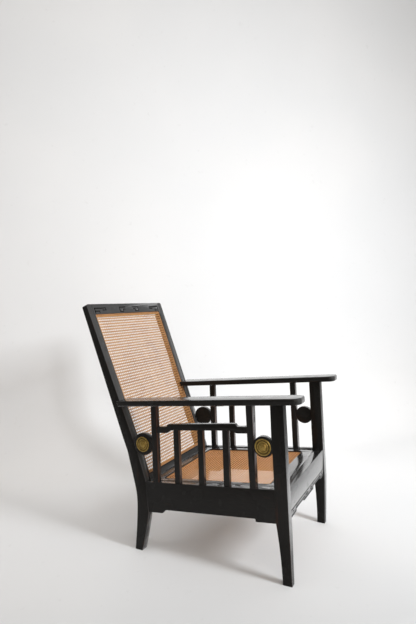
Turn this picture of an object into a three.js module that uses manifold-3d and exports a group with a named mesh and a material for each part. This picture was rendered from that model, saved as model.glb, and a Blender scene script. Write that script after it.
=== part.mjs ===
// A planters chair: a low, reclined lounge chair of dark polished wood with a caned back,
// a loose caned seat, open slatted sides and brass-faced roundels under the arms.
// Millimetres, +Z up. The sitter faces -Y, so the right-hand side is at -X.
import * as THREE from 'three';
import { mergeVertices } from 'three/addons/utils/BufferGeometryUtils.js';
import Module from 'manifold-3d';

const wasm = await Module();
wasm.setup();

// Clearance between a cut and the piece that fills it
const FIT_GAP = 0.3;
// How far a tenon is rooted inside its own piece, so that the two join without a seam
const TENON_ROOT = 6;
const CURVE_STEPS = 8;

// Side frames: outer faces stand at the frame half width, y is measured from the front legs
const FRAME_HALF_WIDTH = 271;
const LEG_THICKNESS = 34;
const LEG_WIDTH = 48;
const FOOT_WIDTH = 34;
const LEG_TAPER_HEIGHT = 213;
const LEG_TAPER_BOW = 13.6;
// The inner faces of the front legs taper too, and the left foot stands a little behind the right one
const FOOT_THICKNESS = 24;
const FRONT_FOOT_SETBACKS = { left: 12, right: 0 };
// The front legs and front posts lean back a little about the height of the rail
const FRONT_LEAN = 0.02;

// Side rails slope down to the rear
const RAIL_RAKE = 0.09;
const RAIL_TOP_HEIGHT = 338;
const RAIL_DEPTH = 109;
const RAIL_THICKNESS = 28;
const SPANDREL_FRONT_DROP = 11;
const SPANDREL_FRONT_LENGTH = 74;
const SPANDREL_FRONT_STEP = 3;
const SPANDREL_REAR_DROP = 14;
const SPANDREL_REAR_LENGTH = 74;
const SPANDREL_REAR_STEP = 26;

// Arms slope down to the rear and overhang the frames on both sides
const ARM_RAKE = 0.0742;
const ARM_HEIGHT = 641.5;
const ARM_THICKNESS = 23;
const ARM_WIDTH = 82;
const ARM_OUTER_OVERHANG = 24;
const ARM_FRONT_OVERHANG = 64;
const ARM_CORNER_RADIUS = 26;
const ARM_EDGE_ROUND = 5;
const ARM_EDGE_STEPS = 3;

// Uprights between the side rail and the arm
const POST_WIDTH = 25;
const POST_THICKNESS = 24;
const FRONT_POST_Y = 117.5;
const REAR_POST_Y = 541;
const SLAT_WIDTH = 24;
const SLAT_THICKNESS = 18;
const SLAT_SETBACK = 3;
const SLAT_CENTRES = [452, 343, 236.5];

// The stepped rail between the posts: a raised middle with an S-shaped drop at each end
const MID_RAIL_BELOW_ARM = 68;
const MID_RAIL_DEPTH = 25;
const MID_RAIL_THICKNESS = 20;
const MID_RAIL_SETBACK = 2;
const MID_RAIL_DROP = 10.5;
const MID_RAIL_FRONT_END_LENGTH = 38;
const MID_RAIL_REAR_END_LENGTH = 43;
const MID_RAIL_STEP = 13;
const MID_RAIL_UNDER_STEP = 21;

// Roundels: a turned wooden disc let into its neighbours, with a brass boss on its outer face
const DISC_THICKNESS = 24;
const FRONT_DISC_LET_IN = 3.5;
const REAR_DISC_LET_IN = 1;
const DISC_SEGMENTS = 40;
const DISC_EDGE_ROUND = 2;
const FRONT_DISC_HEIGHT = 482.5;
const REAR_DISC_HEIGHT = 437.5;
const BOSS_RADIUS = 31.4;
const BOSS_HEIGHT = 6.2;
const BOSS_SEGMENTS = 32;

// Back: its front face is one plane that leans back from the seat
const BACK_FOOT_Y = 498;
const BACK_RECLINE = Math.atan(0.3645);
const BACK_TOP_HEIGHT = 1020;
const STILE_TOP_DEPTH = 26;
const STILE_WAIST_DEPTH = 46.5;
const STILE_WAIST_HEIGHT = 450;
const STILE_KNEE_HEIGHT = 400;
const STILE_KNEE_INSET = 4;
const STILE_TOP_FLARE = 17.5;
const REAR_FOOT_FLARE = 8;
const STILE_THICKNESS = 30;
const STILE_TOP_RADIUS = 11;
const CREST_DEPTH = 57;
const FRET_LINE_WIDTH = 3.6;
const FRET_LINE_DEPTH = 1.6;
const CORNER_FRET_INSET = 12;
const CORNER_FRET_WIDTH = 74;
const CORNER_FRET_HEIGHT = 23;
const CORNER_FRET_RISE = 14;
const CENTRE_FRET_START = 8;
const CENTRE_FRET_WIDTH = 64;
const CENTRE_FRET_HEIGHT = 21;
const CENTRE_FRET_RISE = 18;
// Straight strokes of the frets: where each starts and ends, across and up
const CORNER_FRET_SHARES = [
  [0, 1, 1, 1], [1, 0, 1, 1], [0, 0.6, 0, 1], [0, 0.6, 0.3, 0.6], [0.62, 0.4, 1, 0.4], [0.62, 0, 0.62, 0.4],
];
const CENTRE_FRET_SHARES = [
  [0.3, 1, 1, 1], [1, 0, 1, 1], [0.6, 0, 1, 0], [0.6, 0, 0.6, 0.5], [0.38, 0.5, 0.6, 0.5],
];
const BACK_RAIL_BOTTOM_HEIGHT = 260;
const BACK_RAIL_DEPTH = 58;
const BACK_MEMBER_THICKNESS = 22;
const BACK_RAIL_CHAMFER = 6;
const BACK_STRIP_WIDTH = 18;
const BACK_STRIP_THICKNESS = 26;

// Rear leg below the seat: straight against the side rail, then sweeping back to the foot
const REAR_LEG_RAIL_TOP = [606, 292];
const REAR_LEG_RAIL_FOOT = [592, 158];
const REAR_FOOT_FRONT_Y = 626;
const REAR_FOOT_REAR_Y = 660.5;
const REAR_LEG_SWEEP = [605, 80];
const REAR_LEG_HEEL = [650, 110];
const REAR_LEG_CALF = [648, 215];
const REAR_LEG_HAM = [666, 300];

// Front and rear rails
const FRONT_RAIL_THICKNESS = 30;
const FRONT_RAIL_SETBACK = 1;
const FRONT_RAIL_END_DEPTH = 111;
const FRONT_RAIL_ARCH_DEPTH = 101;
const FRONT_RAIL_DROP_DEPTH = 112;
const FRONT_RAIL_END_LENGTH = 64;
const FRONT_RAIL_DROP_HALF_WIDTH = 62;
const FRONT_RAIL_STEP = 6;
const BAND_DEPTH = 86;
const LINE_WIDTH = 4;
const LINE_DEPTH = 2.5;
const LINE_INSET = 4;
const DOT_RADIUS = 4;
const DOT_SEGMENTS = 12;
const LOZENGE_HALF_WIDTH = 17;
const LOZENGE_HALF_HEIGHT = 6.5;
const LOZENGE_CORE_SHARE = 0.4;
const REAR_RAIL_THICKNESS = 26;
const REAR_RAIL_FRONT_Y = 590;
const REAR_RAIL_TOP_HEIGHT = 251;
const REAR_RAIL_BOTTOM_HEIGHT = 173;

// Loose seat frame, sunk between the rails and borne on ledgers
const SEAT_SINK = 2;
const SEAT_THICKNESS = 24;
const SEAT_SIDE_GAP = 1;
const SEAT_SIDE_WIDTH = 43;
const SEAT_REAR_WIDTH = 80;
const SEAT_FRONT_Y = 33.5;
const SEAT_SHOULDER_Y = 52.5;
const SEAT_OPENING_FRONT_Y = 97;
const SEAT_OPENING_REAR_Y = 546;
const SEAT_CORNER_RADIUS = 22;
const SEAT_REAR_GAP = 1.2;
const SEAT_TENON_LENGTH = 24;
const SEAT_TENON_SHOULDER = 10;
const LEDGER_WIDTH = 20;
const LEDGER_DEPTH = 18;
const LEDGER_FRONT_Y = 70;
const LEDGER_REAR_Y = 570;
const LEDGER_END_GAP = 4;

// Tenons, as length into the neighbour and the two sides of its section
const RAIL_TENON = { length: 20, thickness: 12, shoulder: 14 };
const SIDE_RAIL_TENON_THICKNESS = 10;
const SIDE_RAIL_TENON_OFFSET = 3;
const REAR_RAIL_TENON_LENGTH = 11;
const REAR_RAIL_TENON_SETBACK = 17;
const BACK_RAIL_TENON_RISE = 26;
const BACK_RAIL_TENON_SHOULDER = 8;
const POST_TENON = { length: 13, thickness: 12, shoulder: 5 };
const SLAT_TENON = { length: 10, thickness: 8, shoulder: 4 };
const LEG_TENON = { length: 14, thickness: 16, shoulder: 9 };
const ARM_TENON = { length: 16, thickness: 12, shoulder: 6 };

// Cane: a flat open net in a rebate, held down by a flat binder strip
const CANE_THICKNESS = 2.2;
const CANE_MARGIN = 9;
const SEAT_CANE_DEPTH = 5;
const BACK_CANE_DEPTH = 3;
const CANE_STRAND = 5;
const CANE_BOW = 0.8;
const CANE_BOW_CENTRE_SHARE = 0.37;
const SEAT_CANE_ROWS = 13;
const SEAT_CANE_COLUMNS = 11;
const BACK_CANE_ROWS = 17;
const BACK_CANE_COLUMNS = 11;
const BINDER_WIDTH = 8;
const BINDER_THICKNESS = 1.4;

const X_AXIS = new THREE.Vector3(1, 0, 0);
const Y_AXIS = new THREE.Vector3(0, 1, 0);
const Z_AXIS = new THREE.Vector3(0, 0, 1);

const railTop = (y) => RAIL_TOP_HEIGHT - RAIL_RAKE * y;
const armUnderside = (y) => ARM_HEIGHT - ARM_RAKE * y;
const midRailTop = (y) => ARM_HEIGHT - MID_RAIL_BELOW_ARM - RAIL_RAKE * y;
const leanAt = (z) => FRONT_LEAN * (z - RAIL_TOP_HEIGHT);
const backFace = (z) => BACK_FOOT_Y + Math.tan(BACK_RECLINE) * z;
// The stiles stand a little inside the side frames at the knee and splay outwards above and below it
const kneeHalfWidth = FRAME_HALF_WIDTH - STILE_KNEE_INSET;
const upperSplay = (STILE_TOP_FLARE + STILE_KNEE_INSET) / (BACK_TOP_HEIGHT - STILE_KNEE_HEIGHT);
const lowerSplay = -(REAR_FOOT_FLARE + STILE_KNEE_INSET) / STILE_KNEE_HEIGHT;
const stileOuter = (z) => kneeHalfWidth
  + (z > STILE_KNEE_HEIGHT ? upperSplay : lowerSplay) * (z - STILE_KNEE_HEIGHT);
const stileInner = (z) => stileOuter(z) - STILE_THICKNESS;

// Frames of reference: the reclined plane of the back and the raked planes of seat and arms
function planeFrame(u, v, origin) {
  const normal = new THREE.Vector3().crossVectors(u, v);
  return new THREE.Matrix4().makeBasis(u, v, normal).setPosition(origin);
}

function rakedFrame(rake, height) {
  const slope = Math.atan(rake);
  const along = new THREE.Vector3(0, Math.cos(slope), -Math.sin(slope));
  return planeFrame(X_AXIS, along, new THREE.Vector3(0, 0, height));
}

const backUp = new THREE.Vector3(0, Math.sin(BACK_RECLINE), Math.cos(BACK_RECLINE));
const backFrame = planeFrame(X_AXIS, backUp, new THREE.Vector3(0, BACK_FOOT_Y, 0));
const seatFrame = rakedFrame(RAIL_RAKE, RAIL_TOP_HEIGHT - SEAT_SINK);
const armFrame = rakedFrame(ARM_RAKE, ARM_HEIGHT);
const sideFrame = planeFrame(Y_AXIS, Z_AXIS, new THREE.Vector3(0, 0, 0));
const frontFrame = planeFrame(X_AXIS, Z_AXIS, new THREE.Vector3(0, 0, 0));
const alongBack = (z) => z / Math.cos(BACK_RECLINE);
const alongSeat = (y) => y * Math.hypot(1, RAIL_RAKE);

// Solids
function clean(geometry) {
  geometry.deleteAttribute('normal');
  geometry.deleteAttribute('uv');
  return mergeVertices(geometry);
}

function toSolid(geometry) {
  const welded = clean(geometry.clone());
  return new wasm.Manifold(new wasm.Mesh({
    numProp: 3,
    vertProperties: new Float32Array(welded.attributes.position.array),
    triVerts: new Uint32Array(welded.index.array),
  }));
}

function toGeometry(solid) {
  const mesh = solid.getMesh();
  const geometry = new THREE.BufferGeometry();
  geometry.setAttribute('position', new THREE.BufferAttribute(mesh.vertProperties, mesh.numProp));
  geometry.setIndex(new THREE.BufferAttribute(mesh.triVerts, 1));
  return geometry;
}

function combine(geometry, tools, operation) {
  const solid = tools.reduce((body, tool) => body[operation](toSolid(tool)), toSolid(geometry));
  return toGeometry(solid);
}

const join = (geometry, ...pieces) => combine(geometry, pieces, 'add');
const cut = (geometry, ...tools) => combine(geometry, tools, 'subtract');
const common = (geometry, ...tools) => combine(geometry, tools, 'intersect');

// A board: a drawn outline given a thickness and laid in one of the frames above
function board(shape, frame, start, thickness) {
  const geometry = new THREE.ExtrudeGeometry(shape, {
    depth: thickness, bevelEnabled: false, curveSegments: CURVE_STEPS,
  });
  return clean(geometry.translate(0, 0, start).applyMatrix4(frame));
}

// Boards in a side frame are measured inwards from their outer face
function sideBoard(shape, side, outer, thickness) {
  return board(shape, sideFrame, side > 0 ? outer - thickness : -outer, thickness);
}

function block(low, high) {
  const size = high.map((value, axis) => value - low[axis]);
  const centre = high.map((value, axis) => (value + low[axis]) / 2);
  return new THREE.BoxGeometry(...size).translate(...centre);
}

// A tenon and its mortise are one box, the mortise with clearance all round
function tenonBox(low, high) {
  const roomLow = low.map((value) => value - FIT_GAP);
  const roomHigh = high.map((value) => value + FIT_GAP);
  return { tenon: block(low, high), mortise: block(roomLow, roomHigh) };
}

function sideSpan(side, outer, thickness) {
  return side > 0 ? [outer - thickness, outer] : [-outer, thickness - outer];
}

// The x range of a tenon centred in a piece that stands in a side frame
function centredSpan(side, outer, thickness, tenonThickness) {
  const [low, high] = sideSpan(side, outer, thickness);
  const middle = (low + high) / 2;
  return [middle - tenonThickness / 2, middle + tenonThickness / 2];
}

function polygon(points) {
  return new THREE.Shape(points.map(([a, b]) => new THREE.Vector2(a, b)));
}

// An S-shaped step between two levels of an outline
function ogeeTo(shape, fromA, fromB, toA, toB) {
  const middleA = (fromA + toA) / 2;
  shape.bezierCurveTo(middleA, fromB, middleA, toB, toA, toB);
}

const wood = (name, colour, roughness) => new THREE.MeshStandardMaterial({
  name, color: colour, roughness, metalness: 0,
});
const EBONY = 0x1c1815;
const EBONY_WORN = 0x2b2018;
const CANE = 0xc98f5a;
const BRASS = 0x9a7b3a;

const chair = new THREE.Group();

function place(name, geometry, material) {
  geometry.computeVertexNormals();
  const mesh = new THREE.Mesh(geometry, material);
  mesh.name = name;
  chair.add(mesh);
  return mesh;
}

// Roundel places: the front one between leg and post, the rear one between post and stile
const frontPost = [FRONT_POST_Y, FRONT_POST_Y + POST_WIDTH];
const rearPost = [REAR_POST_Y, REAR_POST_Y + POST_WIDTH];
const frontDiscRadius = (frontPost[0] - LEG_WIDTH) / 2 + FRONT_DISC_LET_IN;
const frontDiscY = (frontPost[0] + LEG_WIDTH) / 2 + leanAt(FRONT_DISC_HEIGHT);
const rearDiscGap = backFace(REAR_DISC_HEIGHT) - rearPost[1] + REAR_DISC_LET_IN;
const rearDiscRadius = (rearDiscGap * Math.cos(BACK_RECLINE) + REAR_DISC_LET_IN)
  / (1 + Math.cos(BACK_RECLINE));
const rearDiscY = rearPost[1] - REAR_DISC_LET_IN + rearDiscRadius;

function discGeometry(side, radius, y, z) {
  const profile = [
    [0, 0], [radius - DISC_EDGE_ROUND, 0], [radius, DISC_EDGE_ROUND],
    [radius, DISC_THICKNESS - DISC_EDGE_ROUND], [radius - DISC_EDGE_ROUND, DISC_THICKNESS],
    [0, DISC_THICKNESS],
  ].map(([r, h]) => new THREE.Vector2(r, h));
  return outward(new THREE.LatheGeometry(profile, DISC_SEGMENTS), side)
    .translate(side * (FRAME_HALF_WIDTH - DISC_THICKNESS), y, z);
}

// Turns a lathed piece so that its axis points out of the side frame
function outward(geometry, side) {
  return clean(geometry).rotateZ(-side * Math.PI / 2);
}

function discRoom(side, radius, y, z) {
  const room = new THREE.CylinderGeometry(radius + FIT_GAP, radius + FIT_GAP,
    DISC_THICKNESS + 2 * FIT_GAP, DISC_SEGMENTS);
  const middle = FRAME_HALF_WIDTH - DISC_THICKNESS / 2;
  return room.rotateZ(Math.PI / 2).translate(side * middle, y, z);
}

// A brass boss: flat rim, sunk ring, raised ring, sunk ring and a low dome
const BOSS_PROFILE_SHARES = [
  [1, 0], [1, 0.3], [0.96, 0.5], [0.86, 0.5], [0.8, 0.22], [0.71, 0.22],
  [0.66, 0.52], [0.58, 0.52], [0.5, 0.24], [0.38, 0.66], [0.2, 0.94], [0, 1],
];

function bossGeometry(side, y, z) {
  const rings = BOSS_PROFILE_SHARES
    .map(([share, heightShare]) => new THREE.Vector2(BOSS_RADIUS * share, BOSS_HEIGHT * heightShare));
  return outward(new THREE.LatheGeometry([new THREE.Vector2(0, 0), ...rings], BOSS_SEGMENTS), side)
    .translate(side * (FRAME_HALF_WIDTH + FIT_GAP), y, z);
}

// Outlines in side view
function frontLegShape(footSetback) {
  const shape = new THREE.Shape();
  const [foot, knee, top] = [leanAt(0) + footSetback, leanAt(LEG_TAPER_HEIGHT), leanAt(ARM_HEIGHT)];
  shape.moveTo(foot, 0);
  shape.lineTo(FOOT_WIDTH + foot, 0);
  shape.quadraticCurveTo(LEG_WIDTH - LEG_TAPER_BOW + (foot + knee) / 2, LEG_TAPER_HEIGHT / 2,
    LEG_WIDTH + knee, LEG_TAPER_HEIGHT);
  shape.lineTo(LEG_WIDTH + top, armUnderside(LEG_WIDTH + top) - FIT_GAP);
  shape.lineTo(top, armUnderside(top) - FIT_GAP);
  shape.lineTo(knee, LEG_TAPER_HEIGHT);
  return shape;
}

// What the taper takes off the inner face of a front leg, from the knee down
function innerTaperCut(side) {
  const taper = LEG_THICKNESS - FOOT_THICKNESS;
  const beyond = LEG_TAPER_HEIGHT / 10;
  const outline = [
    [legInner, LEG_TAPER_HEIGHT], [legInner - beyond, LEG_TAPER_HEIGHT], [legInner - beyond, -beyond],
    [legInner + taper * (1 + beyond / LEG_TAPER_HEIGHT), -beyond],
  ].map(([x, z]) => [side * x, z]);
  return board(polygon(side > 0 ? outline.reverse() : outline), frontFrame, -2 * LEG_WIDTH, 3 * LEG_WIDTH);
}

const stileRear = (z) => {
  const taper = (STILE_WAIST_DEPTH - STILE_TOP_DEPTH) / (BACK_TOP_HEIGHT - STILE_WAIST_HEIGHT);
  const depth = STILE_WAIST_DEPTH - taper * Math.max(0, z - STILE_WAIST_HEIGHT);
  return backFace(z) + depth / Math.cos(BACK_RECLINE);
};

function upperStileShape() {
  const topRear = [
    backFace(BACK_TOP_HEIGHT) + STILE_TOP_DEPTH * Math.cos(BACK_RECLINE),
    BACK_TOP_HEIGHT - STILE_TOP_DEPTH * Math.sin(BACK_RECLINE),
  ];
  return polygon([
    [backFace(STILE_KNEE_HEIGHT), STILE_KNEE_HEIGHT],
    [stileRear(STILE_KNEE_HEIGHT), STILE_KNEE_HEIGHT],
    [stileRear(STILE_WAIST_HEIGHT), STILE_WAIST_HEIGHT],
    topRear,
    [backFace(BACK_TOP_HEIGHT), BACK_TOP_HEIGHT],
  ]);
}

function rearLegShape() {
  const shape = new THREE.Shape();
  shape.moveTo(REAR_FOOT_FRONT_Y, 0);
  shape.lineTo(REAR_FOOT_REAR_Y, 0);
  shape.splineThru([REAR_LEG_HEEL, REAR_LEG_CALF, REAR_LEG_HAM,
    [stileRear(STILE_KNEE_HEIGHT), STILE_KNEE_HEIGHT]].map(([y, z]) => new THREE.Vector2(y, z)));
  shape.lineTo(backFace(STILE_KNEE_HEIGHT), STILE_KNEE_HEIGHT);
  shape.lineTo(...REAR_LEG_RAIL_TOP);
  shape.lineTo(...REAR_LEG_RAIL_FOOT);
  shape.quadraticCurveTo(...REAR_LEG_SWEEP, REAR_FOOT_FRONT_Y, 0);
  return shape;
}

// Leans a piece sideways about the knee, more the further it is above or below it
function splayed(geometry, side, splay) {
  const lean = new THREE.Matrix4().set(
    1, 0, side * splay, -side * splay * STILE_KNEE_HEIGHT,
    0, 1, 0, 0,
    0, 0, 1, 0,
    0, 0, 0, 1,
  );
  return geometry.applyMatrix4(lean);
}

// What is cut away to round the outer top corner of a stile, in the plane of the back
function topCornerCut(side) {
  const [edge, top] = [stileOuter(BACK_TOP_HEIGHT), alongBack(BACK_TOP_HEIGHT)];
  const [centreX, centreV] = [edge - STILE_TOP_RADIUS, top - STILE_TOP_RADIUS];
  const arc = Array.from({ length: CURVE_STEPS + 1 }, (_, step) => {
    const angle = Math.PI / 2 * step / CURVE_STEPS;
    return [side * (centreX + STILE_TOP_RADIUS * Math.cos(angle)),
      centreV + STILE_TOP_RADIUS * Math.sin(angle)];
  });
  const beyond = STILE_TOP_RADIUS;
  const outline = [...arc, [side * centreX, top + beyond], [side * (edge + beyond), top + beyond],
    [side * (edge + beyond), centreV]];
  return board(polygon(side > 0 ? outline.reverse() : outline), backFrame,
    -2 * STILE_TOP_DEPTH, 3 * STILE_TOP_DEPTH);
}

// The front face of the rear leg where the side rail meets it
const rearLegFront = (z) => {
  const [topY, topZ] = REAR_LEG_RAIL_TOP;
  const [footY, footZ] = REAR_LEG_RAIL_FOOT;
  return footY + (topY - footY) * (z - footZ) / (topZ - footZ);
};

const railRearY = rearLegFront(railTop(REAR_LEG_RAIL_TOP[0]));

function sideRailShape() {
  const front = LEG_WIDTH + FIT_GAP;
  const frontStep = front + SPANDREL_FRONT_LENGTH;
  const rear = railRearY - FIT_GAP;
  const rearStep = rear - SPANDREL_REAR_LENGTH;
  const under = (y, drop) => railTop(y) - RAIL_DEPTH - drop;
  const frontFoot = front + leanAt(under(front, SPANDREL_FRONT_DROP));
  const rearFoot = rearLegFront(under(REAR_LEG_RAIL_FOOT[0], SPANDREL_REAR_DROP)) - FIT_GAP;
  const shape = new THREE.Shape();
  shape.moveTo(front, railTop(front));
  shape.lineTo(frontFoot, under(frontFoot, SPANDREL_FRONT_DROP));
  shape.lineTo(frontStep, under(frontStep, SPANDREL_FRONT_DROP));
  ogeeTo(shape, frontStep, under(frontStep, SPANDREL_FRONT_DROP),
    frontStep + SPANDREL_FRONT_STEP, under(frontStep + SPANDREL_FRONT_STEP, 0));
  shape.lineTo(rearStep - SPANDREL_REAR_STEP, under(rearStep - SPANDREL_REAR_STEP, 0));
  ogeeTo(shape, rearStep - SPANDREL_REAR_STEP, under(rearStep - SPANDREL_REAR_STEP, 0),
    rearStep, under(rearStep, SPANDREL_REAR_DROP));
  shape.lineTo(rearFoot, under(rearFoot, SPANDREL_REAR_DROP));
  shape.lineTo(rear, railTop(rear));
  return shape;
}

function midRailShape() {
  const front = frontPost[1] + FIT_GAP + leanAt(midRailTop(frontPost[1]));
  const rear = rearPost[0] - FIT_GAP;
  const top = (y, drop) => midRailTop(y) - drop;
  const under = (y, drop) => top(y, drop) - MID_RAIL_DEPTH;
  const frontLow = front + MID_RAIL_FRONT_END_LENGTH;
  const frontHigh = frontLow + MID_RAIL_STEP;
  const rearLow = rear - MID_RAIL_REAR_END_LENGTH;
  const rearHigh = rearLow - MID_RAIL_STEP;
  const frontUnder = frontHigh + MID_RAIL_UNDER_STEP - MID_RAIL_STEP / 2;
  const rearUnder = rearHigh - MID_RAIL_UNDER_STEP + MID_RAIL_STEP / 2;
  const shape = new THREE.Shape();
  shape.moveTo(front, under(front, MID_RAIL_DROP));
  shape.lineTo(frontLow, under(frontLow, MID_RAIL_DROP));
  ogeeTo(shape, frontLow, under(frontLow, MID_RAIL_DROP), frontUnder, under(frontUnder, 0));
  shape.lineTo(rearUnder, under(rearUnder, 0));
  ogeeTo(shape, rearUnder, under(rearUnder, 0), rearLow, under(rearLow, MID_RAIL_DROP));
  shape.lineTo(rear, under(rear, MID_RAIL_DROP));
  shape.lineTo(rear, top(rear, MID_RAIL_DROP));
  shape.lineTo(rearLow, top(rearLow, MID_RAIL_DROP));
  ogeeTo(shape, rearLow, top(rearLow, MID_RAIL_DROP), rearHigh, top(rearHigh, 0));
  shape.lineTo(frontHigh, top(frontHigh, 0));
  ogeeTo(shape, frontHigh, top(frontHigh, 0), frontLow, top(frontLow, MID_RAIL_DROP));
  shape.lineTo(front, top(front, MID_RAIL_DROP));
  return shape;
}

function armShape(side) {
  const outer = FRAME_HALF_WIDTH + ARM_OUTER_OVERHANG;
  const inner = outer - ARM_WIDTH;
  const front = -ARM_FRONT_OVERHANG;
  const rear = backFace(armUnderside(0)) + ARM_WIDTH;
  const r = ARM_CORNER_RADIUS;
  const [low, high] = side > 0 ? [inner, outer] : [-outer, -inner];
  const shape = new THREE.Shape();
  shape.moveTo(low + r, front);
  shape.lineTo(high - r, front);
  shape.absarc(high - r, front + r, r, -Math.PI / 2, 0);
  shape.lineTo(high, rear);
  shape.lineTo(low, rear);
  shape.lineTo(low, front + r);
  shape.absarc(low + r, front + r, r, Math.PI, 1.5 * Math.PI);
  return shape;
}

function armBoard(side) {
  const geometry = new THREE.ExtrudeGeometry(armShape(side), {
    depth: ARM_THICKNESS - 2 * ARM_EDGE_ROUND,
    bevelThickness: ARM_EDGE_ROUND, bevelSize: ARM_EDGE_ROUND, bevelOffset: -ARM_EDGE_ROUND,
    bevelSegments: ARM_EDGE_STEPS, curveSegments: CURVE_STEPS,
  });
  return clean(geometry.translate(0, 0, ARM_EDGE_ROUND).applyMatrix4(armFrame));
}

// Everything behind the front face of the back, less a gap, as a cutting tool
function behindBack(gap) {
  const reach = 2 * BACK_TOP_HEIGHT;
  return block([-reach, -reach, -reach], [reach, reach, gap]).applyMatrix4(backFrame);
}

// Side frames
const sides = [['left', 1], ['right', -1]];
const caneRoom = {};

// Caned openings, drawn in the planes of back and seat
const backOpening = {
  bottom: alongBack(BACK_RAIL_BOTTOM_HEIGHT) + BACK_RAIL_DEPTH,
  top: alongBack(BACK_TOP_HEIGHT) - CREST_DEPTH,
  bends: [alongBack(STILE_KNEE_HEIGHT)],
  half: (v) => stileInner(v * Math.cos(BACK_RECLINE)) - BACK_STRIP_WIDTH,
};
const seatHalf = FRAME_HALF_WIDTH - RAIL_THICKNESS - SEAT_SIDE_GAP;
const seatOpening = {
  bottom: alongSeat(SEAT_OPENING_FRONT_Y),
  top: alongSeat(SEAT_OPENING_REAR_Y),
  bends: [],
  half: () => seatHalf - SEAT_SIDE_WIDTH,
};

// The outline of an opening grown outwards, or shrunk with a negative margin
function openingPoints(opening, margin) {
  const levels = [opening.bottom - margin, ...opening.bends, opening.top + margin];
  const right = levels.map((level) => [opening.half(level) + margin, level]);
  const left = right.map(([half, level]) => [-half, level]).reverse();
  return [...right, ...left];
}

// Strands are a little bowed, most of all near one side, as hand-drawn cane is
const bowAt = (share) => CANE_BOW * (1 - (share - CANE_BOW_CENTRE_SHARE) ** 2);

// An open net: crossing strands of one width, fastened along a border
function netShape(opening, rows, columns) {
  const shape = polygon(openingPoints(opening, CANE_MARGIN));
  const height = opening.top - opening.bottom;
  const strand = CANE_STRAND / 2;
  const corner = (column, row, toRight, toTop) => {
    const [u, w] = [2 * column / columns - 1, 2 * row / rows - 1];
    const v = opening.bottom + height * row / rows + bowAt(u) + toTop * strand;
    return new THREE.Vector2(opening.half(v) * u + bowAt(w) + toRight * strand, v);
  };
  for (let row = 0; row < rows; row += 1) {
    for (let column = 0; column < columns; column += 1) {
      shape.holes.push(new THREE.Path([
        corner(column, row, 1, 1), corner(column + 1, row, -1, 1),
        corner(column + 1, row + 1, -1, -1), corner(column, row + 1, 1, -1),
      ]));
    }
  }
  return shape;
}

// The rebate that the net lies in, open towards the front or top of the frame
function caneRebate(opening, frame, sunk) {
  const depth = sunk + CANE_THICKNESS + 2 * FIT_GAP;
  return board(polygon(openingPoints(opening, CANE_MARGIN + FIT_GAP)), frame, -depth, 2 * depth);
}

caneRoom.back = caneRebate(backOpening, backFrame, BACK_CANE_DEPTH);
caneRoom.seat = caneRebate(seatOpening, seatFrame, SEAT_CANE_DEPTH);

function binderShape(opening) {
  const shape = polygon(openingPoints(opening, CANE_MARGIN - 1));
  shape.holes.push(new THREE.Path(openingPoints(opening, CANE_MARGIN - 1 - BINDER_WIDTH)
    .map(([a, b]) => new THREE.Vector2(a, b))));
  return shape;
}

// Tenons of the back's cross members, drawn in the plane of the back
function backTenon(side, z, low, high) {
  const shoulder = stileInner(z) - TENON_ROOT;
  const tip = stileInner(z) + RAIL_TENON.length;
  const middle = -BACK_MEMBER_THICKNESS / 2;
  const halfThickness = POST_TENON.thickness / 2;
  const [near, far] = side > 0 ? [shoulder, tip] : [-tip, -shoulder];
  const box = tenonBox([near, low, middle - halfThickness], [far, high, middle + halfThickness]);
  return { tenon: box.tenon.applyMatrix4(backFrame), mortise: box.mortise.applyMatrix4(backFrame) };
}

const crestTop = alongBack(BACK_TOP_HEIGHT);
const crestBottom = crestTop - CREST_DEPTH;
const backRailBottom = alongBack(BACK_RAIL_BOTTOM_HEIGHT);
const backRailTop = backRailBottom + BACK_RAIL_DEPTH;
const crestTenons = sides.map(([, side]) => backTenon(side, BACK_TOP_HEIGHT - CREST_DEPTH,
  crestBottom + RAIL_TENON.shoulder, crestTop - RAIL_TENON.shoulder));
const backRailTenons = sides.map(([, side]) => backTenon(side, STILE_KNEE_HEIGHT,
  backRailBottom + BACK_RAIL_TENON_RISE, backRailTop - BACK_RAIL_TENON_SHOULDER));

// Tenons of the front and rear rails, which run into the inner faces of the legs
function crossTenon(side, inner, length, yMiddle, low, high) {
  const [near, far] = side > 0
    ? [inner - TENON_ROOT, inner + length] : [-inner - length, TENON_ROOT - inner];
  const half = RAIL_TENON.thickness / 2;
  return tenonBox([near, yMiddle - half, low], [far, yMiddle + half, high]);
}

const frontRailTop = railTop(FRONT_RAIL_THICKNESS / 2);
const legInner = FRAME_HALF_WIDTH - LEG_THICKNESS;
const frontRailTenons = sides.map(([, side]) => crossTenon(side, legInner, RAIL_TENON.length,
  FRONT_RAIL_SETBACK + FRONT_RAIL_THICKNESS / 2,
  frontRailTop - FRONT_RAIL_ARCH_DEPTH + RAIL_TENON.shoulder, frontRailTop - RAIL_TENON.shoulder));
const rearRailTenons = sides.map(([, side]) => crossTenon(side, stileInner(STILE_KNEE_HEIGHT),
  REAR_RAIL_TENON_LENGTH, REAR_RAIL_FRONT_Y + REAR_RAIL_TENON_SETBACK,
  REAR_RAIL_BOTTOM_HEIGHT + RAIL_TENON.shoulder, REAR_RAIL_TOP_HEIGHT - RAIL_TENON.shoulder));

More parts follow.
